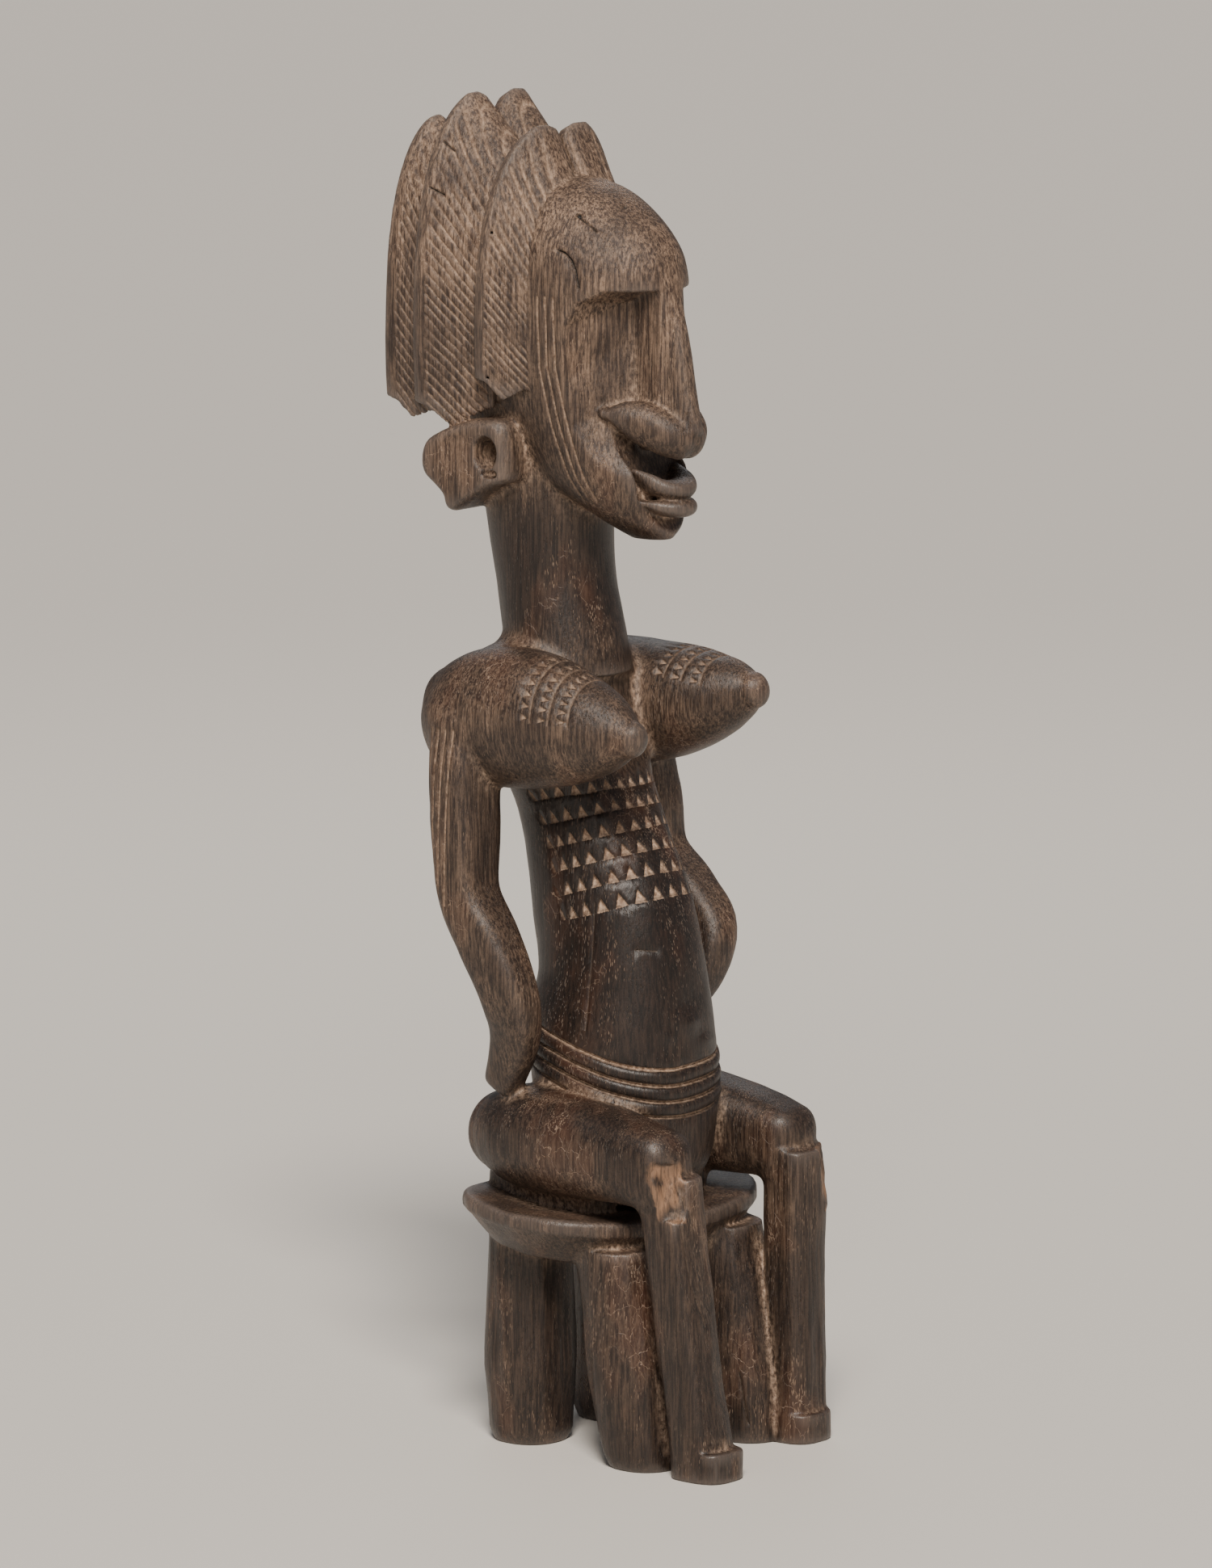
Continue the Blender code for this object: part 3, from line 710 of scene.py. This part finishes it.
def vectors(values):
    """A mesh's directions as rows of three."""
    flat = np.empty(len(values) * 3, np.float32)
    values.foreach_get("vector", flat)
    return flat.reshape(-1, 3).astype(float)


# The fine cuts. Each function gives how deep the knife went at each point, in millimetres.

HATCH = {"front": (50, 2.9), "middle": (45, 3.7), "rear": (48, 4.0)}  # lean in degrees, spacing
HATCH_DEPTH, HATCH_WIDTH = 1.2, 1.7
HATCH_FAN = 0.0021  # how fast the lines steepen above ear height
TOOTH_ROWS, TOOTH_TOP, TOOTH_PITCH, TOOTH_DEPTH = 6, 218, 11.6, 2.5
TOOTH_ANGLE = math.radians(14)
TOOTH_APEX = 0.42  # how far down its row a notch starts
BELT_BANDS, BELT_TOP, BELT_PITCH, BELT_WIDTH, BELT_DEPTH = 3, 89, 7.8, 2.7, 2.0
BELT_TILT, BELT_SIDE_TILT, BELT_FRONT = 0.29, 0.05, -43.5
NAVEL = [((850, 1266), 5.5, 2.6), ((828, 1284), 3.5, 1.1), ((874, 1288), 3.5, 1.2)]  # pixels, spread, height
CHEEK_LINE = [(353, -41), (370, -34), (395, -27.7), (425, -22.5), (460, -22)]  # height, place
CHEEK_LINES, CHEEK_SPACING = 3, 4.6
ARM_LINES, ARM_SPACING = 4, 4.6
ARM_LINE_START = {-1: 1.5, 1: -11.0}
LINE_WIDTH, LINE_DEPTH = 1.8, 1.0
BREAST_ARCS = (-46, -56, -66)
BREAST_MIDDLE, BREAST_RADIUS = (50.5, 250), 31  # the middle is a place to the side and a height
NOTCH_PITCH, NOTCH_LENGTH, NOTCH_DEPTH = 6.5, 5.0, 1.3
CHIP_REACH = 1.2  # how near a chip's face broken wood lies
PIXELS_PER_MM = 2.5
# Cracks and scars that the photograph shows, as pixels of its frame, width and depth.
CRACKS = [
    ([(690, 309), (699, 313), (707, 322), (712, 335), (716, 357)], 1.5, 2.0),
    ([(714, 266), (720, 272), (729, 278), (738, 286)], 1.2, 1.4),
    ([(549, 175), (562, 186)], 1.4, 1.6),
    ([(532, 232), (549, 241)], 1.4, 1.6),
    ([(786, 1176), (813, 1178)], 1.2, 0.9),
    ([(736, 1117), (733, 1180), (728, 1240), (724, 1275)], 0.9, 0.7),
    ([(915, 1700), (920, 1730), (926, 1762)], 1.3, 1.3),
    ([(842, 1510), (855, 1590), (873, 1640)], 1.2, 0.8),
]
HOLES = [((774, 256), 1.0), ((717, 267), 1.2), ((603, 468), 0.7), ((608, 288), 0.7)]


def groove(distance, width, depth):
    """A V cut, at a distance from its middle line."""
    return depth * np.clip(1 - 2 * np.abs(distance) / width, 0, 1)


def to_nearest(value, pitch):
    """Distance from the nearest of a row of evenly spaced lines."""
    return value - pitch * np.round(value / pitch)


def hair_cuts(points, normals, lobes):
    """Slanting lines over the face of each lobe of hair."""
    depth = np.zeros(len(points))
    for (name, _), form in lobes.items():
        on_skin = np.nonzero(np.abs(read(form.distance, form.low, points)) < 1.0)[0]
        lobe = LOBES[name]
        x, y, z = (points[on_skin] - (0, 0, SEAT)).T
        half_width, rise = lobe["edge"][:2]
        power = ARCH_SQUARENESS / 2
        angle = np.arctan2(signed_power((z - CROWN) / rise, power), np.abs(x / half_width) ** power)
        share = (y - lobe["start"][2]) / (edge_place(lobe, angle) - lobe["start"][2])
        face = step_between(share, 0.03, 0.10) * (1 - step_between(share, 0.88, 0.96))
        face *= normals[on_skin, 1] < 0.15
        lean, pitch = HATCH[name]
        lean = math.radians(lean)
        wobble = 1.1 * lattice_noise(points[on_skin], 26, 5) + 0.35 * lattice_noise(points[on_skin], 9, 7)
        fanned = y + HATCH_FAN * np.maximum(z - 440, 0) ** 2
        across = z * math.cos(lean) - fanned * math.sin(lean) + wobble
        strength = 0.65 + 0.45 * lattice_noise(points[on_skin], 11, 6)
        cut = groove(to_nearest(across, pitch), HATCH_WIDTH, HATCH_DEPTH) * face * strength
        depth[on_skin] = np.maximum(depth[on_skin], cut)
    return depth


def trunk_place(points):
    """Height of the trunk's ring through each point, and its angle from straight ahead."""
    rows = follow(TORSO, np.linspace(0, 1, 200))
    x, y, z = (points - (0, 0, SEAT)).T
    behind = y - np.interp(z, rows[:, 2], rows[:, 1])
    level = z - np.interp(z, rows[:, 2], rows[:, 6]) * behind
    return level, np.arctan2(x, -behind)


def belly_cuts(points, level, angle):
    """Rows of notches with their points up: each starts deep at its point and runs out at its foot."""
    row = (TOOTH_TOP - level + 0.5 * lattice_noise(points, 15, 11)) / TOOTH_PITCH
    down = row - np.floor(row)
    along = angle / TOOTH_ANGLE + 0.12 * np.sin(5 * np.floor(row)) + 0.1 * lattice_noise(points, 12, 12)
    aside = np.abs(along - np.round(along))
    into = (down - TOOTH_APEX) / (1 - TOOTH_APEX)
    notch = step_between(0.36 * into - aside, 0.0, 0.05) * TOOTH_DEPTH * (1 - 0.8 * into)
    lip = groove((1 - down) * TOOTH_PITCH, 1.5, 0.45)
    here = (row > 0) & (row < TOOTH_ROWS)
    return (np.maximum(notch, 0) + lip) * here * (1 - step_between(np.abs(angle), 1.62, 1.80))


def belt_cuts(points):
    """Grooves round the hips, and the rounded bands between them."""
    x, y, z = (points - (0, 0, SEAT)).T
    down = BELT_TOP - z + BELT_TILT * (y - BELT_FRONT) + BELT_SIDE_TILT * x
    down += 0.5 * lattice_noise(points, 18, 15)
    here = (down > -BELT_WIDTH) & (down < BELT_BANDS * BELT_PITCH + BELT_WIDTH)
    line = groove(to_nearest(down, BELT_PITCH), BELT_WIDTH, BELT_DEPTH)
    between = (down > 0) & (down < BELT_BANDS * BELT_PITCH)
    swell = 1.3 * np.abs(np.sin(math.pi * down / BELT_PITCH)) * between
    return line * here - swell


def navel(points, normals):
    """A small boss with two ridges under it, low on the belly."""
    pixels = seen_at(points)
    height = np.zeros(len(points))
    for spot, spread, rise in NAVEL:
        distance = np.linalg.norm(pixels - spot, axis=1) / PIXELS_PER_MM
        height = np.maximum(height, rise * np.exp(-((distance / spread) ** 2)))
    return height * (normals @ VIEW_FORWARD < -0.05)


def cheek_cuts(points, normals):
    """Three long lines that bend down each cheek."""
    x, y, z = (points - (0, 0, SEAT)).T
    rows = np.array(CHEEK_LINE, float)
    aside = y - np.interp(z, rows[:, 0], rows[:, 1])
    near_line = np.clip(np.round(-aside / CHEEK_SPACING), 0, CHEEK_LINES - 1)
    distance = 0.93 * (aside + near_line * CHEEK_SPACING) + 0.25 * lattice_noise(points, 20, 21)
    here = (z > rows[0, 0] + 2 * near_line) & (z < rows[-1, 0])
    here &= (np.abs(x) > 16) & (normals[:, 0] * np.sign(x) > 0.2)
    return groove(distance, LINE_WIDTH, LINE_DEPTH) * here * step_between(z, 353, 362)


def arm_cuts(points, normals):
    """Four lines down the outside of each upper arm."""
    x, y, z = (points - (0, 0, SEAT)).T
    depth = np.zeros(len(points))
    for side in SIDES:
        aside = y - ARM_LINE_START[side] + 0.03 * (z - 200)
        near_line = np.clip(np.round(aside / ARM_SPACING), 0, ARM_LINES - 1)
        distance = aside - near_line * ARM_SPACING + 0.3 * lattice_noise(points, 24, 31)
        here = (side * x > 62) & (z > 157 + 3 * near_line) & (z < 246) & (normals[:, 0] * side > 0.35)
        depth = np.maximum(depth, groove(distance, LINE_WIDTH, LINE_DEPTH) * here)
    return depth


def breast_cuts(points, normals):
    """Arcs of small notches over the top of each breast."""
    x, y, z = (points - (0, 0, SEAT)).T
    depth = np.zeros(len(points))
    for side in SIDES:
        across, up = x - side * BREAST_MIDDLE[0], z - BREAST_MIDDLE[1]
        angle = np.arctan2(up, side * across)
        along = angle * BREAST_RADIUS / NOTCH_PITCH + 0.15 * lattice_noise(points, 10, 41)
        aside = np.abs(along - np.round(along))
        for place in BREAST_ARCS:
            back = (y - place + 0.8 * lattice_noise(points, 16, 42)) / NOTCH_LENGTH
            notch = step_between(0.4 * back - aside, 0.0, 0.1) * (back < 1) * (back > 0)
            line = groove(y - place, 2.2, 0.7)
            here = (side * x > 18) & (angle > 0.1) & (angle < 2.6) & (normals[:, 2] > 0.05) & (z < 292)
            depth = np.maximum(depth, (NOTCH_DEPTH * notch * (1 - 0.6 * back) + line) * here)
    return depth


def seen_at(points):
    """Where the camera sees points of the carving, in pixels of its frame."""
    away = (points + NECK_PLACE) * MM - CAMERA_PLACE
    depth = away @ VIEW_FORWARD
    right = FRAME_WIDTH / 2 + FOCAL_PIXELS * (away @ VIEW_RIGHT) / depth
    down = FRAME_HEIGHT / 2 - FOCAL_PIXELS * (away @ VIEW_UP) / depth
    return np.stack([right, down], axis=1)


def crack_cuts(points, normals):
    """Drying cracks, and the holes that insects left."""
    pixels = seen_at(points)
    facing = normals @ VIEW_FORWARD < -0.05
    depth = np.zeros(len(points))
    for route, width, deep in CRACKS:
        route = np.array(route, float)
        for a, b in zip(route, route[1:]):
            share = np.clip(((pixels - a) @ (b - a)) / ((b - a) @ (b - a)), 0, 1)
            distance = np.linalg.norm(pixels - a - share[:, None] * (b - a), axis=1) / PIXELS_PER_MM
            depth = np.maximum(depth, groove(distance, width, deep) * facing)
    for spot, radius in HOLES:
        distance = np.linalg.norm(pixels - spot, axis=1) / PIXELS_PER_MM
        depth = np.maximum(depth, 2.0 * (distance < radius) * facing)
    return depth


def hand_work(points, normals, chips):
    """Flats and hollows that the adze left, the legs' open grain, and where wood broke off."""
    flats = 0.45 * lattice_noise(points, 19, 51) + 0.18 * lattice_noise(points, 8, 52)
    flats *= 1 - 0.6 * step_between(points[:, 2], 430, 480)
    stretched = points * (1, 1, 0.11)
    low = 1 - step_between(points[:, 2], 128, 183)
    grain = 0.75 * lattice_noise(stretched, 5.5, 53) + 0.3 * lattice_noise(stretched, 2.6, 54)
    upright = 1 - np.abs(normals[:, 2])
    broken = np.zeros(len(points))
    for chip in chips:
        broken = np.maximum(broken, np.abs(read(chip.distance, chip.low, points)) < CHIP_REACH)
    rough = 0.9 * lattice_noise(points * (1, 1, 0.4), 3.2, 55) * broken
    broken = broken * step_between(lattice_noise(points, 5, 56), -0.35, 0.25)
    soles = step_between(points[:, 2], 0.0, 4.0)
    return (flats + grain * low * upright + rough) * soles, broken


def all_cuts(points, normals, trunk, lobes):
    """Depth of every fine cut, with the belly's and the belt's only on the trunk."""
    level, angle = trunk_place(points)
    on_trunk = step_between(1.6 - np.abs(read(trunk.distance, trunk.low, points)), 0.0, 0.6)
    sharp = hair_cuts(points, normals, lobes) + cheek_cuts(points, normals) + arm_cuts(points, normals)
    sharp += breast_cuts(points, normals) + on_trunk * belly_cuts(points, level, angle)
    return sharp, on_trunk * (belt_cuts(points) - navel(points, normals)), crack_cuts(points, normals)


def split_near_cuts(points, quads, trunk, lobes):
    """The skin with smaller faces wherever a fine cut runs."""
    rough = as_mesh("rough", points, quads)
    normals = vectors(rough.vertex_normals)
    if np.einsum("ij,ij->i", points - points.mean(axis=0), normals).mean() < 0:
        quads = quads[:, ::-1]
        normals = -normals
    bpy.data.meshes.remove(rough)
    sharp, belt, cracks = all_cuts(points, normals, trunk, lobes)
    fine = (sharp > 0.02) | (cracks > 0.02) | (belt > 0.3)
    return split_marked(points, quads, fine[quads].any(axis=1))


def shade(name, values, mesh):
    """Keeps a value from 0 to 1 at each point, for the material to read."""
    attribute = mesh.attributes.new(name, "FLOAT", "POINT")
    attribute.data.foreach_set("value", np.clip(values, 0, 1).astype(np.float32))


DUSTY = [  # height above the seat, how much dust dulls the oil there
    (-121, 0.14), (-20, 0.20), (0, 0.36), (30, 0.24), (60, 0.08), (150, 0.0), (215, 0.08), (250, 0.46),
    (285, 0.26), (300, 0.06), (340, 0.10), (375, 0.50), (420, 0.58), (465, 0.76), (500, 0.88), (560, 0.90),
]
DUSTY_HAIR, DUSTY_ARMS = 0.62, 0.38


def dust_at(points, lobes):
    """How much dust dulls the oil at each point."""
    height = points[:, 2] - SEAT
    dusty = np.interp(height, *np.array(DUSTY).T)
    for form in lobes.values():
        in_hair = step_between(2.0 - np.abs(read(form.distance, form.low, points)), 0, 1)
        dusty = np.maximum(dusty, DUSTY_HAIR * in_hair)
    arms = step_between(np.abs(points[:, 0]), 50, 58) * (height > 60) * (height < 240)
    return np.maximum(dusty, DUSTY_ARMS * arms)


def wear_hollows_and_ridges(points, block, mesh):
    """Hollows gather dust. Under the brow and the nose none is put, so those hollows keep the dark oiled
    colour as painted shade. Ridges are rubbed.
    """
    height = points[:, 2] - SEAT
    coarse = soften(block.distance[::2, ::2, ::2], 6)
    bend = read(coarse, block.low, points, step=2)
    hollow = np.clip((-bend - 0.12) / 1.1, 0, 1)
    brow_painted_shade = step_between(height, 430, 446) * (1 - step_between(height, 463, 468)) * (points[:, 1] < -30)
    nose_painted_shade = step_between(height, 364, 372) * (1 - step_between(height, 392, 396)) * (points[:, 1] < -56)
    shade("hollow", hollow * (1 - brow_painted_shade) * (1 - nose_painted_shade), mesh)
    shade("ridge", (bend - 0.45) / 0.9, mesh)


def carved_mesh():
    """The whole carving with its fine cuts, in metres, and the wear at each of its points."""
    trunk = Form(column(TORSO))
    lobes = {(name, side): Form(hair_lobe(side, lobe)) for name, lobe in LOBES.items() for side in SIDES}
    chips = [Form(wedge(corners)) for corners in KNEE_CHIPS]
    block = carve_log(trunk, lobes, chips)
    points, faces = split_near_cuts(*surface(block), trunk, lobes)
    mesh = as_mesh("carved_figure", points, faces)
    normals = vectors(mesh.vertex_normals)
    sharp, belt, cracks = all_cuts(points, normals, trunk, lobes)
    rough, broken = hand_work(points, normals, chips)
    placed = points - normals * (sharp + belt + cracks + rough)[:, None]
    placed = np.clip(placed, LOW - NECK_PLACE + INSIDE_BOX, HIGH - NECK_PLACE - INSIDE_BOX)
    mesh.vertices.foreach_set("co", ((placed + NECK_PLACE) * MM).astype(np.float32).ravel())

    in_cracks = 0.3 * step_between(cracks, 0.2, 1.0)
    shade("cuts", step_between(sharp, 0.25, 1.2) + step_between(belt, 0.2, 1.4) + in_cracks, mesh)
    wear_hollows_and_ridges(points, block, mesh)
    shade("dusty", dust_at(points, lobes), mesh)
    shade("broken", broken, mesh)
    # The deepest parts of cracks and insect holes, which the material paints near black as painted shade
    shade("painted_crack_shade", step_between(cracks, 0.3, 1.2), mesh)
    return mesh


def finished_piece(mesh):
    """The carving as one object, with flat places in fewer and larger triangles."""
    piece = bpy.data.objects.new("carved_figure", mesh)
    bpy.context.scene.collection.objects.link(piece)
    thin = piece.modifiers.new("thin", "DECIMATE")
    triangles = sum(face.loop_total - 2 for face in mesh.polygons)
    thin.ratio = min(1.0, FINAL_TRIANGLES / triangles)
    thin.use_collapse_triangulate = True
    graph = bpy.context.evaluated_depsgraph_get()
    finished = bpy.data.meshes.new_from_object(piece.evaluated_get(graph))
    piece.modifiers.clear()
    piece.data = finished
    finished.shade_smooth()
    return piece


def hex_colour(code):
    """An sRGB hex colour as the linear numbers that a shader takes."""
    channels = [int(code[i:i + 2], 16) / 255 for i in (1, 3, 5)]
    linear = [c / 12.92 if c <= 0.04045 else ((c + 0.055) / 1.055) ** 2.4 for c in channels]
    return (*linear, 1.0)


def add_node(tree, kind, inputs=None, **settings):
    """Adds a node. An input is a value, or the socket that feeds it."""
    made = tree.nodes.new(kind)
    for name, value in settings.items():
        setattr(made, name, value)
    for key, value in (inputs or {}).items():
        if isinstance(value, bpy.types.NodeSocket):
            tree.links.new(value, made.inputs[key])
        else:
            made.inputs[key].default_value = value
    return made


def hardwood():
    """Dense tropical hardwood, cut with adze and knife, then oiled and smoked until nearly black.

    Handling gave it a soft shine. Dust from years on an earth floor sits pale in its pores and cuts.
    """
    material = bpy.data.materials.new("smoke_darkened_hardwood")
    material.use_nodes = True
    tree = material.node_tree
    shader = tree.nodes["Principled BSDF"]
    place = add_node(tree, "ShaderNodeTexCoord").outputs["Object"]

    def stretched(x, y, z):
        """Coordinates in which one step is the given millimetres each way."""
        scale = (1 / (x * MM), 1 / (y * MM), 1 / (z * MM))
        return add_node(tree, "ShaderNodeMapping", {"Vector": place, "Scale": scale}).outputs[0]

    def noise(vector, detail=2.0, rough=0.5, distortion=0.0):
        return add_node(tree, "ShaderNodeTexNoise", {
            "Vector": vector, "Scale": 1.0, "Detail": detail, "Roughness": rough, "Distortion": distortion,
        }).outputs["Fac"]

    def ramp(value, low, high, start=0.0, end=1.0):
        return add_node(tree, "ShaderNodeMapRange", {
            "Value": value, "From Min": low, "From Max": high, "To Min": start, "To Max": end},
            interpolation_type="SMOOTHSTEP").outputs[0]

    def math_of(operation, a, b=0.0, clamp=False):
        return add_node(tree, "ShaderNodeMath", {0: a, 1: b}, operation=operation, use_clamp=clamp).outputs[0]

    def mix(share, a, b):
        return add_node(tree, "ShaderNodeMix", {0: share, 6: a, 7: b}, data_type="RGBA").outputs[2]

    def painted(name):
        return add_node(tree, "ShaderNodeAttribute", attribute_name=name).outputs["Fac"]

    def wandering(vector, sway, detail):
        """The vector, pushed about by noise."""
        push = add_node(tree, "ShaderNodeTexNoise", {"Vector": sway, "Scale": 1.0, "Detail": detail})
        ends = {0: vector, 1: push.outputs["Color"]}
        return add_node(tree, "ShaderNodeVectorMath", ends, operation="ADD").outputs[0]

    cuts, hollow, ridge = painted("cuts"), painted("hollow"), painted("ridge")
    dusty, broken, painted_crack_shade = painted("dusty"), painted("broken"), painted("painted_crack_shade")

    # Open pores, real ones 0.2 mm wide and 2 mm long. They are drawn about three times as wide, to show.
    wavy = wandering(stretched(0.85, 0.85, 4.6), stretched(6, 6, 20), 2.0)
    cells = add_node(tree, "ShaderNodeTexVoronoi", {"Vector": wavy, "Scale": 1.0})
    bands = noise(stretched(7, 7, 90), 3.0, 0.6, 0.4)
    many = ramp(bands, 0.35, 0.65, 0.10, 0.36)
    pore_edge = math_of("SUBTRACT", many, cells.outputs["Distance"])
    pores = ramp(pore_edge, -0.04, 0.12)
    streaks = noise(stretched(1.3, 1.3, 26), 4.0, 0.7, 0.3)
    broad = noise(stretched(34, 34, 60), 3.0, 0.55)
    fine_dirt = noise(stretched(2.2, 2.2, 3.0), 4.0, 0.7)

    # Fine crazing in the dried oil, on cells whose edges wander.
    wavy = wandering(stretched(9, 9, 13), stretched(9, 9, 9), 3.0)
    cells = add_node(tree, "ShaderNodeTexVoronoi", {"Vector": wavy, "Scale": 1.0}, feature="DISTANCE_TO_EDGE")
    craze = math_of("MULTIPLY", ramp(cells.outputs["Distance"], 0.022, 0.004), ramp(broad, 0.54, 0.66))

    oiled = mix(ramp(streaks, 0.35, 0.7), hex_colour("#130e0c"), hex_colour("#2c201a"))
    oiled = mix(ramp(broad, 0.5, 0.7, 0.0, 0.5), oiled, hex_colour("#4a2c1d"))
    dull = mix(ramp(streaks, 0.38, 0.66), hex_colour("#3d2d24"), hex_colour("#9a806b"))
    dull = mix(ramp(broad, 0.42, 0.58, 0.5, 0.0), dull, hex_colour("#332620"))
    wood = mix(math_of("MULTIPLY", dusty, ramp(fine_dirt, 0.25, 0.6, 0.55, 1.15), clamp=True), oiled, dull)
    wood = mix(math_of("MULTIPLY", ridge, 0.35), wood, hex_colour("#7b7069"))

    # Pale dust in the hollows, left out under the brow and the nose so these stay dark as painted shade
    settled = math_of("MULTIPLY", hollow, ramp(fine_dirt, 0.3, 0.65, 0.1, 0.95))
    settled = math_of("MULTIPLY", settled, ramp(streaks, 0.3, 0.6, 0.35, 0.9))
    in_pores = math_of("MULTIPLY", pores, ramp(broad, 0.4, 0.62, 0.05, 0.45))
    dust = math_of("MAXIMUM", math_of("MULTIPLY", cuts, ramp(fine_dirt, 0.2, 0.6, 0.6, 1.0)), settled)
    dust = math_of("MAXIMUM", dust, in_pores)
    dust = math_of("MAXIMUM", dust, math_of("MULTIPLY", craze, 0.4), clamp=True)
    powder = mix(ramp(fine_dirt, 0.3, 0.7), hex_colour("#8d715c"), hex_colour("#c0a68f"))
    colour = mix(dust, wood, powder)
    bare = math_of("MULTIPLY", broken, ramp(streaks, 0.3, 0.65, 0.25, 0.85))
    colour = mix(bare, colour, hex_colour("#98765c"))
    # Cracks and insect holes are painted near black: painted shade inside them
    colour = mix(painted_crack_shade, colour, hex_colour("#0d0906"))
    tree.links.new(colour, shader.inputs["Base Color"])

    sheen = ramp(dusty, 0.0, 0.9, 0.42, 0.54)
    sheen = math_of("SUBTRACT", sheen, math_of("MULTIPLY", ridge, 0.08))
    worn = add_node(tree, "ShaderNodeMix", {0: dust, 2: sheen, 3: 0.85}, data_type="FLOAT").outputs[0]
    tree.links.new(worn, shader.inputs["Roughness"])

    relief = math_of("MULTIPLY", streaks, ramp(dusty, 0.1, 0.6, 0.5, 1.3))
    relief = math_of("SUBTRACT", relief, math_of("MULTIPLY", pores, 0.8))
    relief = math_of("SUBTRACT", relief, math_of("MULTIPLY", craze, 0.5))
    relief = math_of("ADD", relief, math_of("MULTIPLY", fine_dirt, 0.35))
    bump = add_node(tree, "ShaderNodeBump", {"Height": relief, "Strength": 0.7, "Distance": 0.6 * MM})
    tree.links.new(bump.outputs[0], shader.inputs["Normal"])
    return material


def studio_floor():
    """A plain pale floor, matt as seamless paper is."""
    mesh = as_mesh("floor", [(-30, -30, 0), (30, -30, 0), (30, 30, 0), (-30, 30, 0)], [(0, 1, 2, 3)])
    floor = bpy.data.objects.new("floor", mesh)
    bpy.context.scene.collection.objects.link(floor)
    material = bpy.data.materials.new("seamless_paper")
    material.use_nodes = True
    shader = material.node_tree.nodes["Principled BSDF"]
    shader.inputs["Base Color"].default_value = hex_colour("#dbd7d0")
    shader.inputs["Roughness"].default_value = 0.95
    mesh.materials.append(material)


def area_light(name, place, aim, size, watts, colour="#ffffff"):
    """A softbox."""
    data = bpy.data.lights.new(name, "AREA")
    data.shape = "SQUARE"
    data.size = size
    data.energy = watts
    data.color = hex_colour(colour)[:3]
    light = bpy.data.objects.new(name, data)
    light.location = place
    light.rotation_euler = (Vector(aim) - Vector(place)).to_track_quat("-Z", "Y").to_euler()
    bpy.context.scene.collection.objects.link(light)


def key_light():
    """A wide, far light, high behind the camera."""
    data = bpy.data.lights.new("key", "SUN")
    data.energy = 3.4
    data.angle = math.radians(16)
    data.color = hex_colour("#fff6ec")[:3]
    key = bpy.data.objects.new("key", data)
    key.rotation_euler = Vector((1.25, 1.15, -1.9)).to_track_quat("-Z", "Y").to_euler()
    bpy.context.scene.collection.objects.link(key)


def studio():
    """Floor, lights and a soft grey surround."""
    studio_floor()
    key_light()
    area_light("near_softbox", (-1.2, -0.9, 1.5), (0, 0, 0.45), 0.4, 12, "#fff4e8")
    area_light("rim", (1.6, 1.4, 1.7), (0, 0, 0.45), 1.0, 7)
    world = bpy.data.worlds.new("studio")
    world.use_nodes = True
    world.node_tree.nodes["Background"].inputs["Color"].default_value = hex_colour("#e6e6ea")
    world.node_tree.nodes["Background"].inputs["Strength"].default_value = 0.24
    bpy.context.scene.world = world


def place_camera():
    """A long lens, some way off."""
    data = bpy.data.cameras.new("camera")
    data.sensor_fit = "VERTICAL"
    data.sensor_height = SENSOR
    data.lens = LENS
    camera = bpy.data.objects.new("camera", data)
    camera.location = CAMERA_PLACE
    camera.rotation_euler = Vector(VIEW_FORWARD).to_track_quat("-Z", "Y").to_euler()
    bpy.context.scene.collection.objects.link(camera)
    bpy.context.scene.camera = camera


piece = finished_piece(carved_mesh())
piece.data.materials.clear()
piece.data.materials.append(hardwood())
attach(piece, "root")
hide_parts("seated_figure")
studio()
place_camera()
